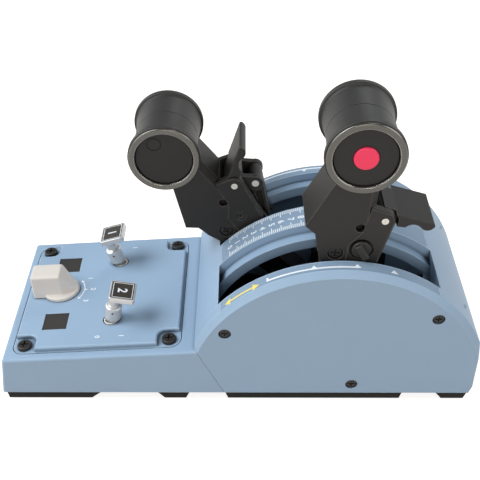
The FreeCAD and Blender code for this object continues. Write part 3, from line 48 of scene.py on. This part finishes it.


# ---- finishes: round and the reach of the painted crevice shade are in millimetres, grain and streak are texture scales

finishes = {
    "bluePlastic": {"color": linear(150, 176, 202), "rough": 0.48, "grain": 900, "bump": 0.04,
                    "mottle": 0.04, "round": 0.5, "rubAndHighlight": 0.60, "rubHighlightColor": linear(206, 226, 242),
                    "specular": 0.35, "paintedShadeReach": 4.0},
    "stripPlastic": {"color": linear(134, 158, 182), "rough": 0.55, "grain": 1600, "bump": 0.04,
                     "mottle": 0.10, "round": 0.0, "rubAndHighlight": 0.0, "rubHighlightColor": linear(190, 212, 232),
                     "specular": 0.3},
    "charcoalPlastic": {"color": linear(37, 36, 35), "rough": 0.52, "grain": 1400, "bump": 0.05,
                        "mottle": 0.10, "round": 0.45, "rubAndHighlight": 0.95, "rubHighlightColor": linear(124, 122, 116),
                        "specular": 0.3, "paintedShadeReach": 2.5},
    "knobPlastic": {"color": linear(40, 40, 39), "rough": 0.50, "grain": 1900, "bump": 0.02,
                    "mottle": 0.08, "round": 0.3, "rubAndHighlight": 0.12, "rubHighlightColor": linear(110, 110, 106),
                    "specular": 0.35, "paintedShadeReach": 1.5},
    "capPlastic": {"color": linear(38, 37, 36), "rough": 0.50, "grain": 2200, "bump": 0.03,
                   "mottle": 0.06, "round": 0.3, "rubAndHighlight": 0.1, "rubHighlightColor": linear(120, 120, 116),
                   "specular": 0.25, "paintedShadeReach": 1.5},
    "blackPlastic": {"color": linear(24, 23, 21), "rough": 0.5, "grain": 900, "bump": 0.06,
                     "mottle": 0.12, "round": 0.4, "rubAndHighlight": 0.2, "rubHighlightColor": linear(70, 68, 64),
                     "specular": 0.15},
    "footRubber": {"color": linear(22, 22, 20), "rough": 0.8, "grain": 1500, "bump": 0.12,
                   "mottle": 0.15, "round": 0.3, "rubAndHighlight": 0.1, "rubHighlightColor": linear(50, 50, 48),
                   "specular": 0.1},
    "redPlastic": {"color": linear(255, 52, 98), "rough": 0.32, "grain": 2000, "bump": 0.02,
                   "mottle": 0.04, "round": 0.3, "rubAndHighlight": 0.4, "rubHighlightColor": linear(255, 130, 150),
                   "specular": 0.5},
    "creamPlastic": {"color": linear(216, 210, 204), "rough": 0.40, "grain": 1200, "bump": 0.05,
                     "mottle": 0.04, "round": 0.6, "rubAndHighlight": 0.35, "rubHighlightColor": linear(244, 242, 238),
                     "specular": 0.4},
    "labelPlastic": {"color": linear(58, 54, 49), "rough": 0.55, "grain": 1800, "bump": 0.03,
                     "mottle": 0.10, "round": 0.0, "rubAndHighlight": 0.0, "rubHighlightColor": linear(90, 84, 78),
                     "specular": 0.3},
    "smokedLens": {"color": linear(54, 52, 51), "rough": 0.45, "grain": 2400, "bump": 0.015,
                   "mottle": 0.06, "round": 0.2, "rubAndHighlight": 0.2, "rubHighlightColor": linear(90, 90, 90),
                   "specular": 0.3},
    "boardGreen": {"color": linear(24, 88, 56), "rough": 0.4, "grain": 1000, "bump": 0.03,
                   "mottle": 0.15, "round": 0.0, "rubAndHighlight": 0.0, "rubHighlightColor": linear(60, 140, 90)},
    "blackOxide": {"color": linear(40, 39, 38), "rough": 0.40, "grain": 1800, "bump": 0.04,
                   "mottle": 0.12, "round": 0.25, "rubAndHighlight": 0.5, "rubHighlightColor": linear(96, 94, 90),
                   "specular": 0.3, "paintedShadeReach": 1.4},
    "whitePrint": {"color": linear(236, 242, 248), "rough": 0.6, "grain": 3000, "bump": 0.02,
                   "mottle": 0.03, "round": 0.0, "rubAndHighlight": 0.0, "rubHighlightColor": linear(255, 255, 255)},
    "yellowPrint": {"color": linear(242, 224, 112), "rough": 0.6, "grain": 3000, "bump": 0.02,
                    "mottle": 0.04, "round": 0.0, "rubAndHighlight": 0.0, "rubHighlightColor": linear(255, 255, 255)},
}
metals = {
    "rimMetal": {"color": linear(94, 93, 89), "rough": 0.16, "metallic": 0.8, "streak": 60,
                 "bump": 0.008, "edge": 0.8},
    "satinMetal": {"color": linear(202, 202, 202), "rough": 0.34, "metallic": 0.5, "streak": 40,
                   "bump": 0.02},
    "brightNickel": {"color": linear(240, 240, 236), "rough": 0.36, "metallic": 0.2, "streak": 50,
                     "bump": 0.02},
    "pinSteel": {"color": linear(224, 222, 214), "rough": 0.40, "metallic": 0.5, "streak": 90,
                 "bump": 0.03},
    "innerSteel": {"color": linear(90, 90, 92), "rough": 0.45, "metallic": 0.9, "streak": 50,
                   "bump": 0.05},
    "bushBronze": {"color": linear(170, 140, 96), "rough": 0.4, "metallic": 1.0, "streak": 50,
                   "bump": 0.05},
}
# the surface values below also set the painted crevice shade, the gain of edge wear with painted highlight,
# and the painted edge highlight on metals
surface = {"cloud": 38.0, "scuff": 210.0, "metalCloud": 60.0, "streakGain": 30.0, "bumpGain": 4,
           "bumpReach": 0.1 * mm, "rubHighlightGain": 1.6, "bevelEnd": 0.90, "paintedShadeFrom": 0.2, "paintedShadeTo": 0.82,
           "paintedShadeDarkest": 0.12, "metalRound": 0.35, "metalPaintedHighlight": 0.2, "metalDark": 0.88, "metalLight": 1.08,
           "paintedHighlightTint": linear(225, 224, 220)}


def node(tree, kind, **values):
    made = tree.nodes.new(kind)
    for key, value in values.items():
        if key in made.inputs:
            made.inputs[key].default_value = value
        else:
            setattr(made, key, value)
    return made


def newFinish(name):
    material = bpy.data.materials.new(name)
    material.use_nodes = True
    tree = material.node_tree
    return material, tree, tree.nodes["Principled BSDF"], node(tree, "ShaderNodeTexCoord").outputs["Object"]


def calc(tree, operation, first, second=None):  # one step of arithmetic on sockets or numbers
    made = node(tree, "ShaderNodeMath", operation=operation)
    for socket, value in zip(made.inputs, (first, second)):
        if value is None:
            continue
        if isinstance(value, (int, float)):
            socket.default_value = value
        else:
            tree.links.new(value, socket)
    return made.outputs[0]


def ranged(tree, value, low, high, start=0.0, end=1.0, **more):  # start to end becomes low to high
    ramp = node(tree, "ShaderNodeMapRange", **more)
    for label, number in (("From Min", start), ("From Max", end), ("To Min", low), ("To Max", high)):
        ramp.inputs[label].default_value = number
    tree.links.new(value, ramp.inputs["Value"])
    return ramp.outputs[0]


def blend(tree, share, first, second, way="MIX"):  # mixes colors or sockets
    mix = node(tree, "ShaderNodeMix", data_type="RGBA", blend_type=way)
    for label, value in (("Factor", share), ("A", first), ("B", second)):
        if isinstance(value, (float, tuple)):
            mix.inputs[label].default_value = value
        else:
            tree.links.new(value, mix.inputs[label])
    return mix.outputs["Result"]


def shades(color, dark, light):
    return tuple(c * dark for c in color[:3]) + (1,), tuple(min(1, c * light) for c in color[:3]) + (1,)


def noise(tree, place, scale, detail, **more):
    made = node(tree, "ShaderNodeTexNoise", Scale=scale, Detail=detail, **more)
    tree.links.new(place, made.inputs["Vector"])
    return made.outputs["Fac"]


def grainBump(tree, height, strength, normal=None):
    much = strength * surface["bumpGain"]
    bump = node(tree, "ShaderNodeBump", Strength=much, Distance=surface["bumpReach"])
    tree.links.new(height, bump.inputs["Height"])
    if normal is not None:
        tree.links.new(normal, bump.inputs["Normal"])
    return bump.outputs[0]


def edgeMask(tree, radius):  # the rounded normal, and how far it leans away from the flat one
    rounded = node(tree, "ShaderNodeBevel", samples=6, Radius=radius * mm)
    flat = node(tree, "ShaderNodeNewGeometry")
    lean = node(tree, "ShaderNodeVectorMath", operation="DOT_PRODUCT")
    tree.links.new(rounded.outputs[0], lean.inputs[0])
    tree.links.new(flat.outputs["Normal"], lean.inputs[1])
    mask = ranged(tree, lean.outputs["Value"], 0.0, 1.0, 1.0, surface["bevelEnd"])
    return rounded.outputs[0], mask


def setShader(tree, shader, look, color, rough, normal):
    tree.links.new(color, shader.inputs["Base Color"])
    tree.links.new(rough, shader.inputs["Roughness"])
    tree.links.new(normal, shader.inputs["Normal"])
    shader.inputs["Specular IOR Level"].default_value = look.get("specular", 0.5)


def mouldedFinish(name, look):  # mottled color, fine grain, edges lightened for wear and painted highlight, painted shade in crevices
    material, tree, shader, place = newFinish(name)
    cloud = noise(tree, place, surface["cloud"], 3.0)
    color = blend(tree, cloud, *shades(look["color"], 1 - look["mottle"], 1 + look["mottle"]))
    grain = noise(tree, place, float(look["grain"]), 2.0, Roughness=0.55)
    rounded = None
    # edge wear and painted highlight: the bevel mask lightens the colour along edges, for rubbed edges and
    # for highlight lines
    if look["round"] > 0:
        rounded, mask = edgeMask(tree, look["round"])
        scuffAndHighlightBand = calc(tree, "MULTIPLY", mask, noise(tree, place, surface["scuff"], 4.0))
        rubbedAndHighlit = calc(tree, "MULTIPLY", scuffAndHighlightBand, look["rubAndHighlight"] * surface["rubHighlightGain"])
        color = blend(tree, rubbedAndHighlit, color, look["rubHighlightColor"])
    # painted shade: ambient occlusion darkens the colour in crevices, recesses and gaps between parts
    if look.get("paintedShadeReach"):
        shadeProbe = node(tree, "ShaderNodeAmbientOcclusion", samples=8, Distance=look["paintedShadeReach"] * mm)
        paintedDarkening = ranged(tree, shadeProbe.outputs["AO"], surface["paintedShadeDarkest"], 1.0, surface["paintedShadeFrom"],
                       surface["paintedShadeTo"])
        color = blend(tree, 1.0, color, paintedDarkening, "MULTIPLY")
    rough = ranged(tree, cloud, look["rough"] - 0.05, look["rough"] + 0.07)
    setShader(tree, shader, look, color, rough, grainBump(tree, grain, look["bump"], rounded))
    return material


def metalFinish(name, look):  # cloudy metal with a painted highlight along its edges and fine streaks
    material, tree, shader, place = newFinish(name)
    cloud = noise(tree, place, surface["metalCloud"], 4.0)
    tone = blend(tree, cloud, *shades(look["color"], surface["metalDark"], surface["metalLight"]))
    # painted highlight: the bevel mask lightens every metal edge towards a pale tint
    rounded, mask = edgeMask(tree, surface["metalRound"])
    paintedEdgeHighlight = calc(tree, "MULTIPLY", mask, look.get("edge", surface["metalPaintedHighlight"]))
    color = blend(tree, paintedEdgeHighlight, tone, surface["paintedHighlightTint"])
    fine = noise(tree, place, look["streak"] * surface["streakGain"], 2.0)
    rough = ranged(tree, fine, look["rough"] - 0.06, look["rough"] + 0.08)
    setShader(tree, shader, look, color, rough, grainBump(tree, fine, look["bump"], rounded))
    shader.inputs["Metallic"].default_value = look["metallic"]
    return material


made = {name: mouldedFinish(name, look) for name, look in finishes.items()}
made.update({name: metalFinish(name, look) for name, look in metals.items()})

coverings = {
    "bluePlastic": ["main_casing", "side_cover_left", "side_cover_right", "panel_plate"],
    "stripPlastic": ["scale_strip_centre", "scale_strip_left", "scale_strip_right"],
    "charcoalPlastic": ["lever_arm_left", "lever_arm_right", "lever_yoke_left", "lever_yoke_right",
                        "reverse_trigger_left", "reverse_trigger_right", "lock_rod_left", "lock_rod_right",
                        "latch_knob_left", "latch_knob_right"],
    "knobPlastic": ["knob_barrel_left", "knob_barrel_right"],
    "rimMetal": ["knob_rings_left", "knob_rings_right"],
    "capPlastic": ["knob_caps_left", "knob_caps_right"],
    "blackPlastic": ["bottom_tray", "toggle_switch_cases", "selector_switch", "button_switch_left",
                     "button_switch_right"],
    "footRubber": ["rubber_feet"],
    "redPlastic": ["thumb_button_left", "thumb_button_right"],
    "creamPlastic": ["selector_knob"],
    "labelPlastic": ["toggle_label_left", "toggle_label_right"],
    "smokedLens": ["panel_windows"],
    "boardGreen": ["panel_board", "main_board", "sensor_boards"],
    "satinMetal": ["toggle_stem_left", "toggle_stem_right"],
    "brightNickel": ["toggle_bushings"],
    "pinSteel": ["trigger_pin_left", "trigger_pin_right", "crank_pin_left", "crank_pin_right"],
    "innerSteel": ["lever_axle", "axle_brackets", "friction_washers", "detent_arches", "ballast_plate",
                   "selector_shaft", "usb_socket"],
    "bushBronze": ["hub_bush_left", "hub_bush_right"],
    "blackOxide": ["side_cover_screws", "bottom_screws", "panel_screws", "lever_screws_left",
                   "lever_screws_right"],
}
for finish, names in coverings.items():
    for name in names:
        mesh = nodes[name].data
        mesh.materials.clear()
        mesh.materials.append(made[finish])
print("finishes on", sum(len(names) for names in coverings.values()), "nodes")


# ---- printed marks, in millimetres

ink = {"lift": 0.04, "labelLift": 0.03, "sunk": 0.02, "stripe": 3.0, "scaleNumber": 3.6, "scaleLift": -0.4,
       "panelNumber": 2.8, "labelNumber": 5.2, "labelShift": -0.4, "glyphGain": 1.4, "glyphThick": 0.03,
       "glyphWeight": 0.03}


def onDrum(angle, y, lift):  # a point on the drum's round top, by its angle forward of upright
    turn = math.radians(angle)
    reach = lines["drumRadius"] + lift
    forward, up = reach * math.sin(turn), reach * math.cos(turn)
    return Vector((lines["axisX"] + forward, y, lines["axisZ"] + up)) * mm


def onPlate(forward, y, lift):  # a point on the engine panel's plate
    slope = math.radians(lines["deckSlope"])
    height = lines["plateTop"] + lift
    return Vector((lines["deckX"] + forward * math.cos(slope) - height * math.sin(slope), y,
                   lines["deckZ"] + forward * math.sin(slope) + height * math.cos(slope))) * mm


def printPiece(name, polygons, place, thick, finish, body="casing"):
    verts, faces = [], []
    for polygon in polygons:
        start, count = len(verts), len(polygon)
        verts += [place(a, b, thick) for a, b in polygon] + [place(a, b, -ink["sunk"]) for a, b in polygon]
        faces.append([start + k for k in range(count)])
        faces.append([start + count + k for k in reversed(range(count))])
        for k in range(count):
            n = (k + 1) % count
            faces.append([start + k, start + count + k, start + count + n, start + n])
    mesh = bpy.data.meshes.new(name)
    mesh.from_pydata(verts, [], faces)
    mesh.update()
    return carried(name, mesh, finish, body)


def carried(name, mesh, finish, body):
    piece = bpy.data.objects.new(name, mesh)
    bpy.context.scene.collection.objects.link(piece)
    mesh.materials.clear()
    mesh.materials.append(made[finish])
    bpy.context.view_layer.update()
    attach(piece, body)
    return piece


def bar(angle0, angle1, y0, y1):  # a stripe, cut fine enough to follow the drum
    count = max(1, math.ceil(abs(angle1 - angle0) / ink["stripe"]))
    out = []
    for k in range(count):
        a = angle0 + (angle1 - angle0) * k / count
        b = angle0 + (angle1 - angle0) * (k + 1) / count
        out.append([(a, y0), (b, y0), (b, y1), (a, y1)])
    return out


def outward(polygons):  # same turning sense for every polygon, seen from outside
    out = []
    for polygon in polygons:
        area = sum(a[0] * b[1] - b[0] * a[1] for a, b in zip(polygon, polygon[1:] + polygon[:1]))
        out.append(polygon if area > 0 else polygon[::-1])
    return out


bandMarks = {"arrowStart": -45.9, "arrowEnd": -30.4, "arrowY": 47.1, "arrowHead": 4.0, "arrowHalf": 2.3,
             "arrowNeck": 0.9, "line": 1.15, "bracketStart": -27.5, "bracketEnd": 5.5, "bracketY": 46.7,
             "tickY": 44.6, "triangles": [-10.1, 5.0, 18.4], "triangleY": 46.9, "tipY": 44.2,
             "triangleHalf": 1.4}


def bandPolygons(side):
    marks = bandMarks
    degree = 180 / (math.pi * lines["drumRadius"])  # degrees in one millimetre of arc
    half = marks["line"] / 2
    arrowY, bracketY = marks["arrowY"] * side, marks["bracketY"] * side
    head = marks["arrowHead"] * degree
    neck = head * marks["arrowNeck"]
    yellow = bar(marks["arrowStart"] + neck, marks["arrowEnd"] - neck, arrowY - half, arrowY + half)
    barb = marks["arrowHalf"]
    for tip, way in ((marks["arrowStart"], 1), (marks["arrowEnd"], -1)):
        base = tip + way * head
        yellow.append([(tip, arrowY), (base, arrowY - barb), (base, arrowY + barb)])
    white = bar(marks["bracketStart"], marks["bracketEnd"], bracketY - half, bracketY + half)
    for angle, way in ((marks["bracketStart"], 1), (marks["bracketEnd"], -1)):
        end = angle + way * degree * marks["line"]
        white += bar(angle, end, bracketY - half * side, marks["tickY"] * side)
    wing, baseY, tipY = marks["triangleHalf"], marks["triangleY"] * side, marks["tipY"] * side
    for angle in marks["triangles"]:
        white.append([(angle - wing, baseY), (angle + wing, baseY), (angle, tipY)])
    return yellow, white


for word, side in (("left", 1), ("right", -1)):
    yellow, white = bandPolygons(side)
    printPiece("band_arrow_" + word, outward(yellow), onDrum, ink["lift"], "yellowPrint")
    printPiece("band_marks_" + word, outward(white), onDrum, ink["lift"], "whitePrint")
print("band marks printed")


# ---- centre scale: two rows of ticks grown by Geometry Nodes, with plain numbers between them

scale = {"First": math.radians(-44.0), "Step": math.radians(0.77), "Count": 71, "Every": 5,
         "Edge": 8.5 * mm, "Long": 4.7 * mm, "Short": 2.7 * mm, "Width": 0.50 * mm, "Thick": 0.08 * mm,
         "Radius": lines["drumRadius"] * mm,
         "Axis X": lines["axisX"] * mm, "Axis Z": lines["axisZ"] * mm}
wholeNumbers = ("Count", "Every")


def growScale():  # one long tick and several short ones, over and over, along both edges of the strip
    tree = bpy.data.node_groups.new("scaleTicks", "GeometryNodeTree")
    for label in scale:
        kind = "NodeSocketInt" if label in wholeNumbers else "NodeSocketFloat"
        tree.interface.new_socket(name=label, in_out="INPUT", socket_type=kind)
    tree.interface.new_socket(name="Print", in_out="INPUT", socket_type="NodeSocketMaterial")
    tree.interface.new_socket(name="Ticks", in_out="OUTPUT", socket_type="NodeSocketGeometry")
    given = node(tree, "NodeGroupInput").outputs
    index = node(tree, "GeometryNodeInputIndex").outputs[0]
    row = calc(tree, "GREATER_THAN", index, calc(tree, "SUBTRACT", given["Count"], 0.5))
    step = calc(tree, "SUBTRACT", index, calc(tree, "MULTIPLY", row, given["Count"]))
    short = calc(tree, "MINIMUM", calc(tree, "MODULO", step, given["Every"]), 1.0)
    length = calc(tree, "SUBTRACT", given["Long"],
                  calc(tree, "MULTIPLY", short, calc(tree, "SUBTRACT", given["Long"], given["Short"])))
    angle = calc(tree, "ADD", given["First"], calc(tree, "MULTIPLY", step, given["Step"]))
    side = calc(tree, "SUBTRACT", 1.0, calc(tree, "MULTIPLY", row, 2.0))
    place = node(tree, "ShaderNodeCombineXYZ")
    forward = calc(tree, "MULTIPLY", given["Radius"], calc(tree, "SINE", angle))
    inward = calc(tree, "SUBTRACT", given["Edge"], calc(tree, "MULTIPLY", length, 0.5))
    up = calc(tree, "MULTIPLY", given["Radius"], calc(tree, "COSINE", angle))
    tree.links.new(calc(tree, "ADD", given["Axis X"], forward), place.inputs["X"])
    tree.links.new(calc(tree, "MULTIPLY", side, inward), place.inputs["Y"])
    tree.links.new(calc(tree, "ADD", given["Axis Z"], up), place.inputs["Z"])
    points = node(tree, "GeometryNodePoints")
    tree.links.new(calc(tree, "MULTIPLY", given["Count"], 2.0), points.inputs["Count"])
    tree.links.new(place.outputs[0], points.inputs["Position"])
    size = node(tree, "ShaderNodeCombineXYZ", Y=1.0)
    tree.links.new(given["Width"], size.inputs["X"])
    tree.links.new(given["Thick"], size.inputs["Z"])
    tick = node(tree, "GeometryNodeMeshCube")
    tree.links.new(size.outputs[0], tick.inputs["Size"])
    turn = node(tree, "ShaderNodeCombineXYZ")
    tree.links.new(angle, turn.inputs["Y"])
    stretch = node(tree, "ShaderNodeCombineXYZ", X=1.0, Z=1.0)
    tree.links.new(length, stretch.inputs["Y"])
    spread = node(tree, "GeometryNodeInstanceOnPoints")
    tree.links.new(points.outputs[0], spread.inputs["Points"])
    tree.links.new(tick.outputs["Mesh"], spread.inputs["Instance"])
    tree.links.new(turn.outputs[0], spread.inputs["Rotation"])
    tree.links.new(stretch.outputs[0], spread.inputs["Scale"])
    real = node(tree, "GeometryNodeRealizeInstances")
    tree.links.new(spread.outputs[0], real.inputs[0])
    paint = node(tree, "GeometryNodeSetMaterial")
    tree.links.new(real.outputs[0], paint.inputs["Geometry"])
    tree.links.new(given["Print"], paint.inputs["Material"])
    tree.links.new(paint.outputs[0], node(tree, "NodeGroupOutput").inputs["Ticks"])
    return tree


def grownMesh(name, tree, values):
    host = bpy.data.objects.new(name, bpy.data.meshes.new(name))
    bpy.context.scene.collection.objects.link(host)
    grower = host.modifiers.new("grow", "NODES")
    grower.node_group = tree
    for socket in tree.interface.items_tree:
        if socket.in_out == "INPUT":
            grower[socket.identifier] = values[socket.name]
    graph = bpy.context.evaluated_depsgraph_get()
    mesh = bpy.data.meshes.new_from_object(host.evaluated_get(graph), depsgraph=graph)
    host.modifiers.clear()
    bpy.data.objects.remove(host)
    return mesh


ticks = grownMesh("scaleTicks", growScale(), {**scale, "Print": made["whitePrint"]})
carried("scale_ticks", ticks, "whitePrint", "casing")
print("scale ticks grown:", len(ticks.polygons), "faces")


def glyphMesh(text, size):  # thin solid letters, centred, reading along X
    curve = bpy.data.curves.new("glyph", "FONT")
    curve.body = text
    curve.size = size * mm * ink["glyphGain"]
    curve.align_x = "CENTER"
    curve.align_y = "CENTER"
    curve.extrude = ink["glyphThick"] * mm
    curve.offset = ink["glyphWeight"] * size * mm
    curve.resolution_u = 3
    host = bpy.data.objects.new("glyph", curve)
    bpy.context.scene.collection.objects.link(host)
    graph = bpy.context.evaluated_depsgraph_get()
    mesh = bpy.data.meshes.new_from_object(host.evaluated_get(graph), depsgraph=graph)
    bpy.data.objects.remove(host)
    return mesh


def numberPiece(name, stamps, finish, body="casing"):  # stamps: text, size, matrix of its place
    whole = bmesh.new()
    for text, size, matrix in stamps:
        glyph = glyphMesh(text, size)
        glyph.transform(matrix)
        whole.from_mesh(glyph)
    mesh = bpy.data.meshes.new(name)
    whole.to_mesh(mesh)
    whole.free()
    return carried(name, mesh, finish, body)


def readFromAft(place, a, b, lift=0.0):  # matrix that sets a glyph on a surface with its top forward
    origin = place(a, b, lift)
    ahead = (place(a + 0.1, b, lift) - origin).normalized()
    right = Vector((0, -1, 0))
    out = right.cross(ahead).normalized()
    turn = Matrix((right, ahead, out)).transposed().to_4x4()
    return Matrix.Translation(origin) @ turn


perLong = scale["Every"] * math.degrees(scale["Step"])
longCount = (scale["Count"] - 1) // scale["Every"] + 1
firstAngle = math.degrees(scale["First"])
stamps = [(str(k), ink["scaleNumber"], readFromAft(onDrum, firstAngle + k * perLong, ink["scaleLift"]))
          for k in range(longCount)]
numberPiece("scale_numbers", stamps, "whitePrint")


# ---- panel marks: selector arc, and plain numbers by the selector and the toggles

plate = {"selectorX": 25.0, "selectorY": 1.6, "arcRadius": 13.6, "arcHalf": 31.0, "arcLine": 0.55,
         "arcSteps": 14, "headWide": 0.8, "headLong": 7.0, "markHalf": 3.0, "markTall": 1.5,
         "numberRadius": 18.6, "onX": 64.8, "offX": 51.4, "switchY": 39.6}


def around(radius, angle):
    turn = math.radians(angle)
    return plate["selectorX"] + radius * math.cos(turn), plate["selectorY"] + radius * math.sin(turn)


def selectorArc():  # an arc with an arrow head at each end and a small mark in the middle
    inner, outer = plate["arcRadius"] - plate["arcLine"] / 2, plate["arcRadius"] + plate["arcLine"] / 2
    steps, half = plate["arcSteps"], plate["arcHalf"]
    out = []
    for k in range(steps):
        a, b = -half + 2 * half * k / steps, -half + 2 * half * (k + 1) / steps
        out.append([around(inner, a), around(outer, a), around(outer, b), around(inner, b)])
    wide, mark = plate["headWide"], plate["markHalf"]
    for angle in (-half, half):
        ahead = math.copysign(plate["headLong"], angle)
        out.append([around(inner - wide, angle), around(outer + wide, angle),
                    around(plate["arcRadius"], angle + ahead)])
    out.append([around(outer, -mark), around(outer, mark), around(outer + plate["markTall"], 0.0)])
    return out


printPiece("selector_arc", outward(selectorArc()), onPlate, ink["lift"], "whitePrint")
stamps = []
for word, angle in (("1", 33.0), ("2", 0.0), ("3", -33.0)):
    stamps.append((word, ink["panelNumber"], readFromAft(onPlate, *around(plate["numberRadius"], angle))))
for side in (-1, 1):
    for word, forward in (("1", plate["onX"]), ("0", plate["offX"])):
        matrix = readFromAft(onPlate, forward, side * plate["switchY"])
        stamps.append((word, ink["panelNumber"], matrix))
numberPiece("panel_numbers", stamps, "whitePrint")

toggle = {"x": 57.6037, "y": 25.9, "pivot": -0.8, "lean": 13.0, "headForward": 4.1, "labelTop": 25.45,
          "halfX": 5.55, "halfY": 6.15, "line": 0.35}


def onToggle(side):  # places a mark on the leaning head of one toggle
    lean = math.radians(-toggle["lean"] if side > 0 else toggle["lean"])

    def place(a, b, lift):
        forward = toggle["headForward"] + a
        height = toggle["labelTop"] + lift - toggle["pivot"]
        along = toggle["x"] + forward * math.cos(lean) + height * math.sin(lean)
        rise = toggle["pivot"] - forward * math.sin(lean) + height * math.cos(lean)
        return onPlate(along, side * toggle["y"] + b, rise - lines["plateTop"])
    return place


def labelFrame():
    x, y, line = toggle["halfX"], toggle["halfY"], toggle["line"]
    return [[(-x, -y), (x, -y), (x, -y + line), (-x, -y + line)],
            [(-x, y - line), (x, y - line), (x, y), (-x, y)],
            [(-x, -y + line), (-x + line, -y + line), (-x + line, y - line), (-x, y - line)],
            [(x - line, -y + line), (x, -y + line), (x, y - line), (x - line, y - line)]]


for word, side, digit in (("left", 1, "1"), ("right", -1, "2")):
    place = onToggle(side)
    body = "toggle_" + word
    printPiece("label_frame_" + word, labelFrame(), place, ink["labelLift"], "whitePrint",
               body)
    stamp = (digit, ink["labelNumber"], readFromAft(place, ink["labelShift"], 0.0))
    numberPiece("label_number_" + word, [stamp], "whitePrint", body)
print("numbers and labels printed")


# ---- floor, lamps and camera

studio = {"floorHalf": 4.0, "floorColor": (0.46, 0.42, 0.38, 1.0), "floorRough": 0.9, "floorGlow": 0.85,
          "sky": 0.34, "sidePanels": 3.2, "panelStart": 0.45, "panelEnd": 0.85, "panelFoot": 0.15}
lamps = {
    "key": {"place": (-0.95, -0.12, 1.25), "size": 1.0, "power": 18.5, "tint": (0.95, 0.98, 1.0)},
    "fill": {"place": (0.1, -1.5, 0.52), "size": 0.7, "power": 6.8, "tint": (1.0, 0.93, 0.84)},
    "side": {"place": (1.1, -0.3, 1.0), "size": 0.8, "power": 2.6, "tint": (0.96, 0.98, 1.0)},
    "rim": {"place": (0.45, 1.2, 1.1), "size": 0.45, "power": 3.6, "tint": (0.95, 0.98, 1.0)},
}
lampTarget = Vector((0, 0, 0.05))


def paleBackdrop(name, color, glow):  # glows only for the camera, reflections and clear parts
    material = bpy.data.materials.new(name)
    material.use_nodes = True
    tree = material.node_tree
    shader = tree.nodes["Principled BSDF"]
    shader.inputs["Base Color"].default_value = color
    shader.inputs["Roughness"].default_value = studio["floorRough"]
    path = node(tree, "ShaderNodeLightPath").outputs
    seen = calc(tree, "MAXIMUM", path["Is Camera Ray"], path["Is Glossy Ray"])
    seen = calc(tree, "MAXIMUM", seen, path["Is Transmission Ray"])
    shader.inputs["Emission Color"].default_value = (1, 1, 1, 1)
    tree.links.new(calc(tree, "MULTIPLY", seen, glow), shader.inputs["Emission Strength"])
    return material


floorMesh = bpy.data.meshes.new("floor")
reach = studio["floorHalf"]
floorMesh.from_pydata([(-reach, -reach, 0), (reach, -reach, 0), (reach, reach, 0), (-reach, reach, 0)], [],
                      [(0, 1, 2, 3)])
floor = bpy.data.objects.new("floor", floorMesh)
bpy.context.scene.collection.objects.link(floor)
floorMesh.materials.append(paleBackdrop("floorPaper", studio["floorColor"], studio["floorGlow"]))

world = bpy.data.worlds.new("studio")
bpy.context.scene.world = world
world.use_nodes = True
skyTree = world.node_tree
background = skyTree.nodes["Background"]
background.inputs["Color"].default_value = (1, 1, 1, 1)
path = node(skyTree, "ShaderNodeLightPath").outputs
level = ranged(skyTree, path["Is Camera Ray"], studio["sky"], 1.0)
# two bright side panels above the floor that only reflections see
toward = node(skyTree, "ShaderNodeSeparateXYZ")
skyTree.links.new(node(skyTree, "ShaderNodeTexCoord").outputs["Generated"], toward.inputs[0])
sideways = ranged(skyTree, calc(skyTree, "ABSOLUTE", toward.outputs["X"]), 0.0, 1.0,
                  studio["panelStart"], studio["panelEnd"], interpolation_type="SMOOTHSTEP")
above = ranged(skyTree, toward.outputs["Z"], 0.0, 1.0, 0.0, studio["panelFoot"])
mirrored = calc(skyTree, "MULTIPLY", path["Is Glossy Ray"], studio["sidePanels"])
panels = calc(skyTree, "MULTIPLY", calc(skyTree, "MULTIPLY", sideways, above), mirrored)
skyTree.links.new(calc(skyTree, "ADD", level, panels), background.inputs["Strength"])


def lamp(name, place, size, power, tint):
    light = bpy.data.lights.new(name, "AREA")
    light.shape = "DISK"
    light.size = size
    light.energy = power
    light.color = tint
    holder = bpy.data.objects.new(name, light)
    holder.location = place
    holder.rotation_euler = (lampTarget - Vector(place)).to_track_quat("-Z", "Y").to_euler()
    bpy.context.scene.collection.objects.link(holder)


for name, values in lamps.items():
    lamp(name, **values)

lens = {"focal": 65.28, "sensor": 36.0, "nearest": 0.01, "place": (3.606, -389.634, 370.952),
        "tilt": 52.757, "turn": 0.263, "roll": -0.104}
cameraData = bpy.data.cameras.new("camera")
cameraData.sensor_width = lens["sensor"]
cameraData.lens = lens["focal"]
cameraData.clip_start = lens["nearest"]
camera = bpy.data.objects.new("camera", cameraData)
camera.matrix_world = Matrix.Translation(Vector(lens["place"]) * mm)
for key, axis in (("turn", "Z"), ("tilt", "X"), ("roll", "Z")):
    camera.matrix_world = camera.matrix_world @ Matrix.Rotation(math.radians(lens[key]), 4, axis)
bpy.context.scene.collection.objects.link(camera)
bpy.context.scene.camera = camera
bpy.context.scene.view_settings.view_transform = "Standard"
print("floor, lamps and camera set")

bpy.context.view_layer.update()
